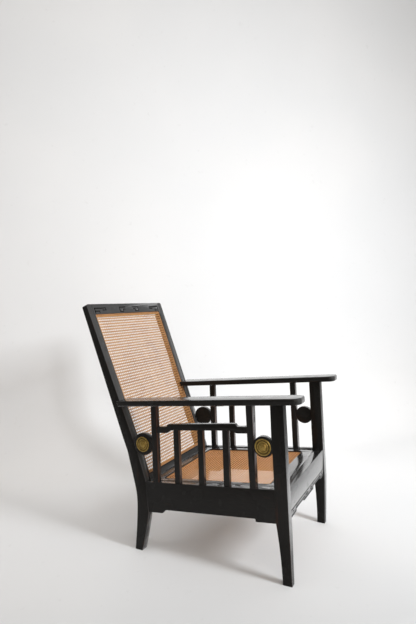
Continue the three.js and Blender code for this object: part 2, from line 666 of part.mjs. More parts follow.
sides.forEach(([hand, side], sideIndex) => {
  const ebony = wood(`ebonised_wood_${hand}`, EBONY, 0.32);
  const worn = wood(`worn_ebonised_wood_${hand}`, EBONY_WORN, 0.4);
  const outer = FRAME_HALF_WIDTH;

  const frontRoom = discRoom(side, frontDiscRadius, frontDiscY, FRONT_DISC_HEIGHT);
  const rearRoom = discRoom(side, rearDiscRadius, rearDiscY, REAR_DISC_HEIGHT);

  // Side rail and its tenons into both legs
  const railX = centredSpan(side, outer + SIDE_RAIL_TENON_OFFSET, RAIL_THICKNESS,
    SIDE_RAIL_TENON_THICKNESS);
  const railLow = (y) => railTop(y) - RAIL_DEPTH + RAIL_TENON.shoulder;
  const railHigh = (y) => railTop(y) - RAIL_TENON.shoulder;
  const railFront = tenonBox([railX[0], LEG_WIDTH - RAIL_TENON.length, railLow(LEG_WIDTH)],
    [railX[1], LEG_WIDTH + TENON_ROOT, railHigh(LEG_WIDTH)]);
  const railRear = tenonBox([railX[0], REAR_LEG_RAIL_FOOT[0] - TENON_ROOT, railLow(railRearY)],
    [railX[1], railRearY + RAIL_TENON.length, railHigh(railRearY)]);

  // Posts, with tenons up into the arm and down into the side rail
  const postX = centredSpan(side, outer, POST_THICKNESS, POST_TENON.thickness);
  const postTenons = [frontPost, rearPost].map(([front, rear], index) => {
    const y = [front + POST_TENON.shoulder, rear - POST_TENON.shoulder];
    const lean = index === 0 ? leanAt(ARM_HEIGHT) : 0;
    return {
      up: tenonBox([postX[0], y[0] + lean, armUnderside(rear) - TENON_ROOT],
        [postX[1], y[1] + lean, armUnderside(rear) + POST_TENON.length]),
      down: tenonBox([postX[0], y[0], railTop(front) - POST_TENON.length],
        [postX[1], y[1], railTop(front) + TENON_ROOT]),
    };
  });

  // Front leg tenon into the arm, and the arm's own tenon into the stile
  const legX = centredSpan(side, outer, LEG_THICKNESS, LEG_TENON.thickness);
  const legTop = leanAt(ARM_HEIGHT);
  const legTenon = tenonBox(
    [legX[0], legTop + LEG_TENON.shoulder, armUnderside(LEG_WIDTH) - TENON_ROOT],
    [legX[1], legTop + LEG_WIDTH - LEG_TENON.shoulder, armUnderside(LEG_WIDTH) + LEG_TENON.length]);
  const armRearY = backFace(armUnderside(backFace(ARM_HEIGHT)));
  const armRearZ = armUnderside(armRearY) + ARM_THICKNESS / 2;
  const armTenonX = centredSpan(side, stileOuter(armRearZ), STILE_THICKNESS, ARM_TENON.thickness);
  const armTenon = tenonBox(
    [armTenonX[0], backFace(armRearZ) - 2 * TENON_ROOT, armRearZ - ARM_TENON.shoulder],
    [armTenonX[1], backFace(armRearZ) + ARM_TENON.length, armRearZ + ARM_TENON.shoulder]);

  // Mid rail tenons into the posts, and slat tenons into mid rail and side rail
  const midX = centredSpan(side, outer - MID_RAIL_SETBACK, MID_RAIL_THICKNESS, SLAT_TENON.thickness);
  const midZ = (y) => midRailTop(y) - MID_RAIL_DROP - MID_RAIL_DEPTH / 2;
  const midHalf = MID_RAIL_DEPTH / 2 - SLAT_TENON.shoulder;
  const midFront = tenonBox([midX[0], frontPost[1] - SLAT_TENON.length, midZ(frontPost[1]) - midHalf],
    [midX[1], frontPost[1] + TENON_ROOT + leanAt(midRailTop(frontPost[1])), midZ(frontPost[1]) + midHalf]);
  const midRear = tenonBox([midX[0], rearPost[0] - TENON_ROOT, midZ(rearPost[0]) - midHalf],
    [midX[1], rearPost[0] + SLAT_TENON.length, midZ(rearPost[0]) + midHalf]);
  const slatX = centredSpan(side, outer - SLAT_SETBACK, SLAT_THICKNESS, SLAT_TENON.thickness);
  const slatHalf = SLAT_WIDTH / 2 - SLAT_TENON.shoulder;
  const slatTenons = SLAT_CENTRES.map((y) => ({
    up: tenonBox([slatX[0], y - slatHalf, midRailTop(y) - MID_RAIL_DEPTH - TENON_ROOT],
      [slatX[1], y + slatHalf, midRailTop(y) - MID_RAIL_DEPTH + SLAT_TENON.length]),
    down: tenonBox([slatX[0], y - slatHalf, railTop(y) - SLAT_TENON.length],
      [slatX[1], y + slatHalf, railTop(y) + TENON_ROOT]),
  }));

  const frontLeg = join(
    sideBoard(frontLegShape(FRONT_FOOT_SETBACKS[hand]), side, outer, LEG_THICKNESS), legTenon.tenon);
  place(`front_leg_${hand}`, cut(frontLeg, railFront.mortise, frontRailTenons[sideIndex].mortise,
    frontRoom, innerTaperCut(side)), worn);

  const upper = splayed(sideBoard(upperStileShape(), side, kneeHalfWidth, STILE_THICKNESS),
    side, upperSplay);
  const lower = splayed(sideBoard(rearLegShape(), side, kneeHalfWidth, STILE_THICKNESS),
    side, lowerSplay);
  place(`rear_leg_and_stile_${hand}`, cut(join(upper, lower), railRear.mortise, rearRoom, topCornerCut(side),
    rearRailTenons[sideIndex].mortise, crestTenons[sideIndex].mortise,
    backRailTenons[sideIndex].mortise, armTenon.mortise), worn);

  const rail = join(sideBoard(sideRailShape(), side, outer, RAIL_THICKNESS), railFront.tenon, railRear.tenon);
  place(`side_rail_${hand}`, cut(rail, ...postTenons.map((tenons) => tenons.down.mortise),
    ...slatTenons.map((tenons) => tenons.down.mortise)), ebony);

  const arm = join(cut(armBoard(side), behindBack(FIT_GAP)), armTenon.tenon);
  place(`arm_${hand}`, cut(arm, legTenon.mortise,
    ...postTenons.map((tenons) => tenons.up.mortise)), worn);

  [['front', frontPost, frontRoom, midFront], ['rear', rearPost, rearRoom, midRear]]
    .forEach(([end, [front, rear], room, midTenon], index) => {
      const lean = end === 'front' ? leanAt(ARM_HEIGHT) : 0;
      const top = (y) => [y + lean, armUnderside(y + lean) - FIT_GAP];
      const shape = polygon([
        [front, railTop(front) + FIT_GAP], [rear, railTop(rear) + FIT_GAP], top(rear), top(front),
      ]);
      const post = join(sideBoard(shape, side, outer, POST_THICKNESS),
        postTenons[index].up.tenon, postTenons[index].down.tenon);
      place(`tall_post_${end}_${hand}`, cut(post, room, midTenon.mortise), ebony);
    });

  const midRail = join(sideBoard(midRailShape(), side, outer - MID_RAIL_SETBACK, MID_RAIL_THICKNESS),
    midFront.tenon, midRear.tenon);
  place(`stepped_mid_rail_${hand}`, cut(midRail, ...slatTenons.map((tenons) => tenons.up.mortise)), ebony);

  SLAT_CENTRES.forEach((y, index) => {
    const [front, rear] = [y - SLAT_WIDTH / 2, y + SLAT_WIDTH / 2];
    const top = (at) => midRailTop(at) - MID_RAIL_DEPTH - FIT_GAP;
    const shape = polygon([
      [front, railTop(front) + FIT_GAP], [rear, railTop(rear) + FIT_GAP],
      [rear, top(rear)], [front, top(front)],
    ]);
    const slat = join(sideBoard(shape, side, outer - SLAT_SETBACK, SLAT_THICKNESS),
      slatTenons[index].up.tenon, slatTenons[index].down.tenon);
    place(`slat_${index + 1}_${hand}`, slat, ebony);
  });

  const brass = new THREE.MeshStandardMaterial({
    name: `aged_brass_${hand}`, color: BRASS, roughness: 0.42, metalness: 1,
  });
  [['front', frontDiscRadius, frontDiscY, FRONT_DISC_HEIGHT],
    ['rear', rearDiscRadius, rearDiscY, REAR_DISC_HEIGHT]].forEach(([end, radius, y, z]) => {
    place(`roundel_disc_${end}_${hand}`, discGeometry(side, radius, y, z), ebony);
    place(`roundel_boss_${end}_${hand}`, bossGeometry(side, y, z), brass);
  });
});

// Front rail: deeper at both ends and in the middle than in the two stretches between
function frontRailShape(rise) {
  const half = legInner - FIT_GAP;
  const top = frontRailTop;
  const end = half - FRONT_RAIL_END_LENGTH + rise;
  const drop = FRONT_RAIL_DROP_HALF_WIDTH - rise;
  const [endZ, archZ, dropZ] = [FRONT_RAIL_END_DEPTH, FRONT_RAIL_ARCH_DEPTH, FRONT_RAIL_DROP_DEPTH]
    .map((depth) => top - depth + rise);
  const shape = new THREE.Shape();
  shape.moveTo(-half, top);
  shape.lineTo(-half, endZ);
  shape.lineTo(-end, endZ);
  ogeeTo(shape, -end, endZ, -end + FRONT_RAIL_STEP, archZ);
  shape.lineTo(-drop - FRONT_RAIL_STEP, archZ);
  ogeeTo(shape, -drop - FRONT_RAIL_STEP, archZ, -drop, dropZ);
  shape.lineTo(drop, dropZ);
  ogeeTo(shape, drop, dropZ, drop + FRONT_RAIL_STEP, archZ);
  shape.lineTo(end - FRONT_RAIL_STEP, archZ);
  ogeeTo(shape, end - FRONT_RAIL_STEP, archZ, end, endZ);
  shape.lineTo(half, endZ);
  shape.lineTo(half, top);
  return shape;
}

const ebony = wood('ebonised_wood', EBONY, 0.32);
const worn = wood('worn_ebonised_wood', EBONY_WORN, 0.4);
const plain = wood('unpolished_underside', 0x3a2c20, 0.7);
const cane = wood('cane', CANE, 0.6);

// Lines cut into its face: one along the band, one along the lower edge, and the sides of the blocks
const carvedLine = (shape) => board(shape, frontFrame, -FRONT_RAIL_SETBACK - LINE_DEPTH, 2 * LINE_DEPTH);
const carvedBar = (x, z, width, height) => carvedLine(polygon([
  [x, z], [x + width, z], [x + width, z + height], [x, z + height],
]));
const bandTop = frontRailTop - BAND_DEPTH;
const blockInner = legInner - FRONT_RAIL_END_LENGTH - LINE_WIDTH / 2;
const dividers = [-legInner, -blockInner, -FRONT_RAIL_DROP_HALF_WIDTH, FRONT_RAIL_DROP_HALF_WIDTH,
  blockInner, legInner].map((x) => carvedBar(
  Math.sign(x) * (Math.abs(x) - LINE_WIDTH) - LINE_WIDTH / 2,
  frontRailTop - FRONT_RAIL_END_DEPTH + LINE_INSET, LINE_WIDTH, FRONT_RAIL_END_DEPTH - BAND_DEPTH - LINE_INSET));
const edgeLine = cut(carvedLine(frontRailShape(LINE_INSET)), carvedLine(frontRailShape(LINE_INSET + LINE_WIDTH)));
const bandLine = carvedBar(LINE_WIDTH - legInner, bandTop, 2 * (legInner - LINE_WIDTH), LINE_WIDTH);
// A dot in each end block and two lozenges in the middle one
const figureZ = bandTop - (FRONT_RAIL_END_DEPTH - BAND_DEPTH - LINE_INSET - LINE_WIDTH) / 2;
const carvedRound = (x, halfWidth, halfHeight, corners) => carvedLine(polygon(
  Array.from({ length: corners }, (_, index) => {
    const angle = 2 * Math.PI * index / corners;
    return [x + halfWidth * Math.cos(angle), figureZ + halfHeight * Math.sin(angle)];
  })));
const dots = sides.map(([, side]) => carvedRound(
  side * (legInner - FRONT_RAIL_END_LENGTH / 2), DOT_RADIUS, DOT_RADIUS, DOT_SEGMENTS));
const lozenges = sides.map(([, side]) => {
  const x = side * FRONT_RAIL_DROP_HALF_WIDTH / 2;
  const core = [LOZENGE_HALF_WIDTH, LOZENGE_HALF_HEIGHT].map((half) => half * LOZENGE_CORE_SHARE);
  return cut(carvedRound(x, LOZENGE_HALF_WIDTH, LOZENGE_HALF_HEIGHT, 4), carvedRound(x, ...core, 4));
});
const frontRailBoard = board(frontRailShape(0), frontFrame, -FRONT_RAIL_SETBACK - FRONT_RAIL_THICKNESS,
  FRONT_RAIL_THICKNESS);
place('front_rail', cut(join(frontRailBoard, ...frontRailTenons.map((box) => box.tenon)),
  bandLine, edgeLine, ...dividers, ...dots, ...lozenges), worn);

const rearRailHalf = (z) => Math.min(stileInner(z), FRAME_HALF_WIDTH - RAIL_THICKNESS) - FIT_GAP;
const rearRailShape = polygon([
  [-rearRailHalf(REAR_RAIL_BOTTOM_HEIGHT), REAR_RAIL_BOTTOM_HEIGHT],
  [rearRailHalf(REAR_RAIL_BOTTOM_HEIGHT), REAR_RAIL_BOTTOM_HEIGHT],
  [rearRailHalf(REAR_RAIL_TOP_HEIGHT), REAR_RAIL_TOP_HEIGHT],
  [-rearRailHalf(REAR_RAIL_TOP_HEIGHT), REAR_RAIL_TOP_HEIGHT],
]);
const rearRailStart = -(REAR_RAIL_FRONT_Y + REAR_RAIL_THICKNESS);
place('rear_rail', join(board(rearRailShape, frontFrame, rearRailStart, REAR_RAIL_THICKNESS),
  ...rearRailTenons.map((box) => box.tenon)), ebony);

// Cross members of the back, between the splayed stiles
const stripInner = (v) => backOpening.half(v);

function backMemberShape(low, high) {
  const half = (v) => stileInner(v * Math.cos(BACK_RECLINE)) - 2 * FIT_GAP;
  return polygon([[-half(low), low], [half(low), low], [half(high), high], [-half(high), high]]);
}

// Frets cut into the crest's face: one above each corner of the opening, and a pair in the middle
const fret = (shares, side, start, rise, width, height) => shares.map(([a, b, c, d]) => {
  const half = FRET_LINE_WIDTH / 2;
  const [u0, u1] = [a, c].map((share) => side * (start + share * width)).sort((p, q) => p - q);
  const [v0, v1] = [b, d].map((share) => crestBottom + rise + share * height);
  return block([u0 - half, v0 - half, -FRET_LINE_DEPTH], [u1 + half, v1 + half, FRET_LINE_DEPTH])
    .applyMatrix4(backFrame);
});
const cornerFretStart = stileInner(BACK_TOP_HEIGHT - CREST_DEPTH) - CORNER_FRET_INSET - CORNER_FRET_WIDTH;
const frets = sides.flatMap(([, side]) => [
  ...fret(CORNER_FRET_SHARES, side, cornerFretStart, CORNER_FRET_RISE, CORNER_FRET_WIDTH, CORNER_FRET_HEIGHT),
  ...fret(CENTRE_FRET_SHARES, side, CENTRE_FRET_START, CENTRE_FRET_RISE, CENTRE_FRET_WIDTH,
    CENTRE_FRET_HEIGHT),
]);
const crest = join(board(backMemberShape(crestBottom, crestTop), backFrame,
  -BACK_MEMBER_THICKNESS, BACK_MEMBER_THICKNESS), ...crestTenons.map((box) => box.tenon));
place('crest_rail', cut(cut(crest, caneRoom.back), join(...frets)), worn);

// The lower rail of the back is chamfered down to the sunk cane
const chamferFrame = planeFrame(backUp, new THREE.Vector3().crossVectors(X_AXIS, backUp),
  new THREE.Vector3(0, BACK_FOOT_Y, 0));
const chamferTop = backRailTop - CANE_MARGIN;
const chamferCut = board(polygon([
  [chamferTop + BACK_CANE_DEPTH, -BACK_CANE_DEPTH], [chamferTop + BACK_CANE_DEPTH, BACK_CANE_DEPTH],
  [chamferTop - BACK_RAIL_CHAMFER, FIT_GAP], [chamferTop, -BACK_CANE_DEPTH],
]), chamferFrame, -stripInner(backRailTop) - CANE_MARGIN, 2 * (stripInner(backRailTop) + CANE_MARGIN));
const backRail = join(board(backMemberShape(backRailBottom, backRailTop), backFrame,
  -BACK_MEMBER_THICKNESS, BACK_MEMBER_THICKNESS), ...backRailTenons.map((box) => box.tenon));
place('back_lower_rail', cut(backRail, caneRoom.back, chamferCut), ebony);

// Strips along the stiles complete the frame that the cane is let into
sides.forEach(([hand, side]) => {
  const [low, bend, high] = [backRailTop + FIT_GAP, ...backOpening.bends, crestBottom - FIT_GAP];
  const inner = [low, bend, high].map((v) => [side * backOpening.half(v), v]);
  const outer = [high, bend, low].map((v) => [side * (backOpening.half(v) + BACK_STRIP_WIDTH - 2 * FIT_GAP), v]);
  const strip = board(polygon([...inner, ...outer]), backFrame, -BACK_STRIP_THICKNESS, BACK_STRIP_THICKNESS);
  place(`back_strip_${hand}`, cut(strip, caneRoom.back), worn);
});

place('back_cane', board(netShape(backOpening, BACK_CANE_ROWS, BACK_CANE_COLUMNS), backFrame,
  -BACK_CANE_DEPTH - CANE_THICKNESS - FIT_GAP, CANE_THICKNESS), cane);
place('back_cane_binder', board(binderShape(backOpening), backFrame, -BACK_CANE_DEPTH,
  BINDER_THICKNESS), cane);

// Seat frame: the end members carry the rounded corners of the opening. The front member is
// tenoned into the sides, which pass behind the front legs, and the sides into the rear member.
const seatCorner = SEAT_CORNER_RADIUS;
const openingHalf = seatOpening.half();

// The inner edge of an end member, from its right to its left, with a fillet at each end
function filletedEdge(half, innerEdge, toOpening) {
  const reach = innerEdge + toOpening * seatCorner;
  const arc = (centre, from) => Array.from({ length: CURVE_STEPS + 1 }, (_, step) => {
    const angle = from + Math.PI / 2 * step / CURVE_STEPS;
    return [centre + seatCorner * Math.cos(angle), reach - toOpening * seatCorner * Math.sin(angle)];
  });
  return [...arc(half - seatCorner, 0), ...arc(seatCorner - half, Math.PI / 2)];
}

function seatBoard(shape) {
  return board(shape, seatFrame, -SEAT_THICKNESS, SEAT_THICKNESS);
}

const frontEdge = alongSeat(SEAT_FRONT_Y);
const shoulder = alongSeat(SEAT_SHOULDER_Y);
const stripHalf = legInner - SEAT_SIDE_GAP;
const frontHalf = openingHalf - FIT_GAP;
const seatFrontShape = polygon([
  [-stripHalf, frontEdge], [stripHalf, frontEdge], [stripHalf, shoulder], [frontHalf, shoulder],
  ...filletedEdge(frontHalf, seatOpening.bottom, 1), [-frontHalf, shoulder], [-stripHalf, shoulder],
]);
const rearJoint = seatOpening.top - seatCorner;
const rearEdge = seatOpening.top + SEAT_REAR_WIDTH;
const seatRearShape = polygon([
  [seatHalf, rearEdge], [-seatHalf, rearEdge], [-seatHalf, rearJoint],
  ...filletedEdge(openingHalf, seatOpening.top, -1).reverse(), [seatHalf, rearJoint],
]);

// Tenon section in the seat frame, as low and high z
const seatTenonZ = [-SEAT_THICKNESS / 2 - SLAT_TENON.thickness / 2, -SEAT_THICKNESS / 2 + SLAT_TENON.thickness / 2];
function seatTenon(low, high) {
  const box = tenonBox([...low, seatTenonZ[0]], [...high, seatTenonZ[1]]);
  return { tenon: box.tenon.applyMatrix4(seatFrame), mortise: box.mortise.applyMatrix4(seatFrame) };
}

const sideTenonHalf = SEAT_SIDE_WIDTH / 2 - SEAT_TENON_SHOULDER;
const rearTenons = sides.map(([, side]) => {
  const middle = side * (openingHalf + seatHalf) / 2;
  return seatTenon([middle - sideTenonHalf, rearJoint - TENON_ROOT],
    [middle + sideTenonHalf, rearJoint + SEAT_TENON_LENGTH]);
});
const frontTenons = sides.map(([, side]) => {
  const [near, far] = [frontHalf - TENON_ROOT, openingHalf + SEAT_TENON_LENGTH];
  return seatTenon([side > 0 ? near : -far, shoulder + SEAT_TENON_SHOULDER],
    [side > 0 ? far : -near, seatOpening.bottom - SEAT_TENON_SHOULDER]);
});

place('seat_front_member', cut(join(seatBoard(seatFrontShape),
  ...frontTenons.map((box) => box.tenon)), caneRoom.seat), worn);
place('seat_rear_member', cut(seatBoard(seatRearShape), caneRoom.seat, behindBack(SEAT_REAR_GAP),
  ...rearTenons.map((box) => box.mortise)), ebony);
sides.forEach(([hand, side], index) => {
  const [low, high] = side > 0 ? [openingHalf, seatHalf] : [-seatHalf, -openingHalf];
  const [front, rear] = [shoulder + FIT_GAP, rearJoint - FIT_GAP];
  const shape = polygon([[low, front], [high, front], [high, rear], [low, rear]]);
  place(`seat_side_member_${hand}`, cut(join(seatBoard(shape), rearTenons[index].tenon),
    caneRoom.seat, frontTenons[index].mortise), worn);
});
place('seat_cane', board(netShape(seatOpening, SEAT_CANE_ROWS, SEAT_CANE_COLUMNS), seatFrame,
  -SEAT_CANE_DEPTH - CANE_THICKNESS - FIT_GAP, CANE_THICKNESS), cane);
place('seat_cane_binder', board(binderShape(seatOpening), seatFrame, -SEAT_CANE_DEPTH,
  BINDER_THICKNESS), cane);

// Ledgers under the loose seat, fixed to the inner faces of the rails
const ledgerTop = -SEAT_THICKNESS - FIT_GAP;
const ledgerOuter = FRAME_HALF_WIDTH - RAIL_THICKNESS - FIT_GAP;
function ledger(low, high, front, rear) {
  const shape = polygon([[low, front], [high, front], [high, rear], [low, rear]]);
  return board(shape, seatFrame, ledgerTop - LEDGER_DEPTH, LEDGER_DEPTH);
}

const ledgerSpan = [alongSeat(LEDGER_FRONT_Y), alongSeat(LEDGER_REAR_Y)];
place('seat_ledger_left', ledger(ledgerOuter - LEDGER_WIDTH, ledgerOuter, ...ledgerSpan), plain);
place('seat_ledger_right', ledger(-ledgerOuter, LEDGER_WIDTH - ledgerOuter, ...ledgerSpan), plain);
const ledgerHalf = legInner - LEDGER_END_GAP;
const frontLedgerY = alongSeat(FRONT_RAIL_SETBACK + FRONT_RAIL_THICKNESS + FIT_GAP
  + (SEAT_THICKNESS + LEDGER_DEPTH) * RAIL_RAKE);
place('seat_ledger_front', ledger(-ledgerHalf, ledgerHalf, frontLedgerY, frontLedgerY + LEDGER_WIDTH), plain);

chair.updateMatrixWorld(true);
const bounds = new THREE.Box3().setFromObject(chair);
chair.position.y = -(bounds.min.y + bounds.max.y) / 2;

export default chair;
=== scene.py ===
"""Looks of a planters chair: worn black polish, six-way cane and aged brass round the CAD frame.

Metres, +Z up. The sitter faces -Y and the chair's right-hand side is at -X.
"""

import math
import random

import bpy
from mathutils import Matrix, Vector


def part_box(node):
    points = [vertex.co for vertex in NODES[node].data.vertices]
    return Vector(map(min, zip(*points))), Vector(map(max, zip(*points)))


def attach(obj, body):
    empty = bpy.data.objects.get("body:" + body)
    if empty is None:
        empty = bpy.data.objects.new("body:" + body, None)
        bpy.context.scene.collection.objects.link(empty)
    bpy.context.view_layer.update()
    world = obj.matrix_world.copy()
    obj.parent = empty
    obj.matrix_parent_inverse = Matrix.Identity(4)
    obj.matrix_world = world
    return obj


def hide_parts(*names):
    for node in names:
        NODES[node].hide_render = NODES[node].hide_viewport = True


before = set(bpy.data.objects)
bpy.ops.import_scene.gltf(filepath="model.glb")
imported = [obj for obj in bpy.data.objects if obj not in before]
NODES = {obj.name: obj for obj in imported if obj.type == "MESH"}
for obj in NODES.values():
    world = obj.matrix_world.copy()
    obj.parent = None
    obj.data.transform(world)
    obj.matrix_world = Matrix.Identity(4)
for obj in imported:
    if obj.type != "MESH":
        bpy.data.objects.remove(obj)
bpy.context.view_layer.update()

# Planes of the CAD frame. Distances along y start at the front legs, as in the CAD source.
SLAT_2_Y = 0.343
FRONT_Y = sum(corner.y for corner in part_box("slat_2_left")) / 2 - SLAT_2_Y
BACK_FOOT_Y = 0.498
BACK_SLOPE = 0.3645
RAIL_RAKE = 0.09
SEAT_TOP = 0.336
BACK_CANE_DEPTH = 0.0044
SEAT_CANE_DEPTH = 0.0064
FRONT_RAIL_SETBACK = 0.001

# Outlines of the two caned openings, measured in their planes
BACK_CORNER_RADIUS = 0.004
BACK_RAIL_BOTTOM = 0.260
BACK_RAIL_DEPTH = 0.058
BACK_TOP = 1.020
CREST_DEPTH = 0.057
KNEE_HEIGHT = 0.400
STILE_INNER_AT_KNEE = 0.237
UPPER_SPLAY = 0.034677
LOWER_SPLAY = -0.030
STRIP_WIDTH = 0.018
SEAT_HALF = 0.199
SEAT_OPENING_FRONT = 0.097
SEAT_OPENING_REAR = 0.546
SEAT_CORNER_RADIUS = 0.022

# Cane: width and thickness of a strand, and the distance between pairs of strands
LEVEL_WIDTH = 0.0026
UPRIGHT_WIDTH = 0.0014
DIAGONAL_WIDTH = 0.0011
STRAND_THICKNESS = 0.00035
STRAND_REACH = 0.0084
STRAND_WIDTH_SHARES = (0.92, 1.06)
CROWN_SHARE = 0.7
CANE_PITCH = 0.0126
PAIR_GAP = 0.0031
WEAVE_HEIGHT = 0.0004
DIAGONAL_RISE_SHARE = 1.8
PAIR_JITTER = 0.00015
DIAGONAL_JITTER = 0.0001
COLUMNS_BETWEEN_POINTS = 4

# Search for the ends of a strand: its step, how far it goes, and the least length of an end piece
SEARCH_STEP = 0.001
SEARCH_REACH = 1.2
END_LENGTH = 0.002

# Binder: a flat strip with a crown, its section given in shares of its width and height
BINDER_WIDTH = 0.0045
BINDER_HEIGHT = 0.0020
BINDER_OUT = 0.0064
BINDER_SHARES = [(-0.5, 0), (-0.42, 0.5), (-0.2, 0.9), (0, 1), (0.2, 0.9), (0.42, 0.5), (0.5, 0)]
MITRE_LIMIT = 0.5
CORNER_STEPS = 6

rng = random.Random(7)


def plane(origin, u, v):
    """A matrix from (u, v, height above the plane) to the row frame."""
    n = u.cross(v)
    rows = [(u[i], v[i], n[i], origin[i]) for i in range(3)]
    return Matrix([*rows, (0, 0, 0, 1)])


BACK_COS = 1 / math.hypot(1, BACK_SLOPE)
SEAT_COS = 1 / math.hypot(1, RAIL_RAKE)
X = Vector((1, 0, 0))
BACK_PLANE = plane(
    Vector((0, FRONT_Y + BACK_FOOT_Y, 0)), X, Vector((0, BACK_SLOPE * BACK_COS, BACK_COS))
)
SEAT_PLANE = plane(
    Vector((0, FRONT_Y, SEAT_TOP)), X, Vector((0, SEAT_COS, -RAIL_RAKE * SEAT_COS))
)


def back_half(v):
    """Half the width of the back's opening at a distance up its plane."""
    rise = v * BACK_COS - KNEE_HEIGHT
    return STILE_INNER_AT_KNEE - STRIP_WIDTH + rise * (UPPER_SPLAY if rise > 0 else LOWER_SPLAY)


# The level strands and the others are widened by the shares level and others. The top of a level
# strand is narrowed to the share crown, and the tone of the others is raised by shade, which
# paints them darker with painted shade.
BACK_OPENING = {
    "plane": BACK_PLANE,
    "low": BACK_RAIL_BOTTOM / BACK_COS + BACK_RAIL_DEPTH,
    "high": BACK_TOP / BACK_COS - CREST_DEPTH,
    "half": back_half,
    "depth": BACK_CANE_DEPTH,
    "corner": BACK_CORNER_RADIUS,
    "level": 1.0,
    "crown": CROWN_SHARE,
    "others": 1.0,
    "shade": 0.0,
}
SEAT_OPENING = {
    "plane": SEAT_PLANE,
    "low": SEAT_OPENING_FRONT / SEAT_COS,
    "high": SEAT_OPENING_REAR / SEAT_COS,
    "half": lambda v: SEAT_HALF,
    "depth": SEAT_CANE_DEPTH,
    "corner": SEAT_CORNER_RADIUS,
    "level": 1.2,
    "crown": 0.92,
    "others": 1.8,
    "shade": 2.0,
}


# Meshes
def make_piece(name, vertices, faces, material, body):
    """A named piece in the row frame that rides on a CAD body."""
    mesh = bpy.data.meshes.new(name)
    mesh.from_pydata([tuple(v) for v in vertices], [], faces)
    mesh.validate()
    mesh.materials.append(material)
    mesh.polygons.foreach_set("use_smooth", [True] * len(mesh.polygons))
    piece = bpy.data.objects.new(name, mesh)
    bpy.context.scene.collection.objects.link(piece)
    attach(piece, body)
    return piece


class Strands:
    """Many closed ribbons gathered into one mesh, each with its own tone."""

    def __init__(self, matrix, depth):
        self.matrix = matrix
        self.depth = depth
        self.vertices, self.faces, self.tones = [], [], []

    def add(self, points, width, crown, shade):
        """A ribbon along (u, v, height) points. Its top is narrower than its base."""
        # A shade above nought raises the tone into painted shade
        tone = rng.random() + shade
        first = len(self.vertices)
        for index, point in enumerate(points):
            before = points[max(index - 1, 0)]
            after = points[min(index + 1, len(points) - 1)]
            along = Vector((after[0] - before[0], after[1] - before[1], 0)).normalized()
            across = Vector((-along.y, along.x, 0)) * width / 2
            centre = Vector((point[0], point[1], point[2] - self.depth))
            lift = Vector((0, 0, STRAND_THICKNESS / 2))
            for corner in (
                across - lift, across * crown + lift, -across * crown + lift, -across - lift
            ):
                self.vertices.append(self.matrix @ (centre + corner))
                self.tones.append(tone)
            if index:
                ring = first + 4 * index
                self.faces += [
                    (ring - 4 + k, ring - 4 + (k + 1) % 4, ring + (k + 1) % 4, ring + k)
                    for k in range(4)
                ]
        last = len(self.vertices) - 4
        self.faces += [tuple(first + 3 - k for k in range(4)), tuple(last + k for k in range(4))]

    def piece(self, name, material, body, slot):
        made = make_piece(name, self.vertices, self.faces, material, body)
        tones = made.data.attributes.new("tone", "FLOAT", "POINT")
        tones.data.foreach_set("value", self.tones)
        return made


def span_in(opening, u0, v0, du, dv):
    """Where the line from (u0, v0) along (du, dv) lies in the opening or in the holes round it."""
    low, high = opening["low"] - STRAND_REACH, opening["high"] + STRAND_REACH
    inside = []
    count = int(SEARCH_REACH / SEARCH_STEP)
    for index in range(-count, count + 1):
        u, v = u0 + du * index * SEARCH_STEP, v0 + dv * index * SEARCH_STEP
        if low <= v <= high and abs(u) <= opening["half"](v) + STRAND_REACH:
            inside.append(index * SEARCH_STEP)
    return (inside[0], inside[-1]) if len(inside) > 4 else None


def line_points(opening, u0, v0, du, dv, height, steps_at):
    """Points of a strand along a line: its ends, and each place where its height changes."""
    span = span_in(opening, u0, v0, du, dv)
    if span is None:
        return []
    start, end = span
    middle = [s for s in steps_at if start + END_LENGTH < s < end - END_LENGTH]
    return [(u0 + du * s, v0 + dv * s, height(s)) for s in (start, *middle, end)]


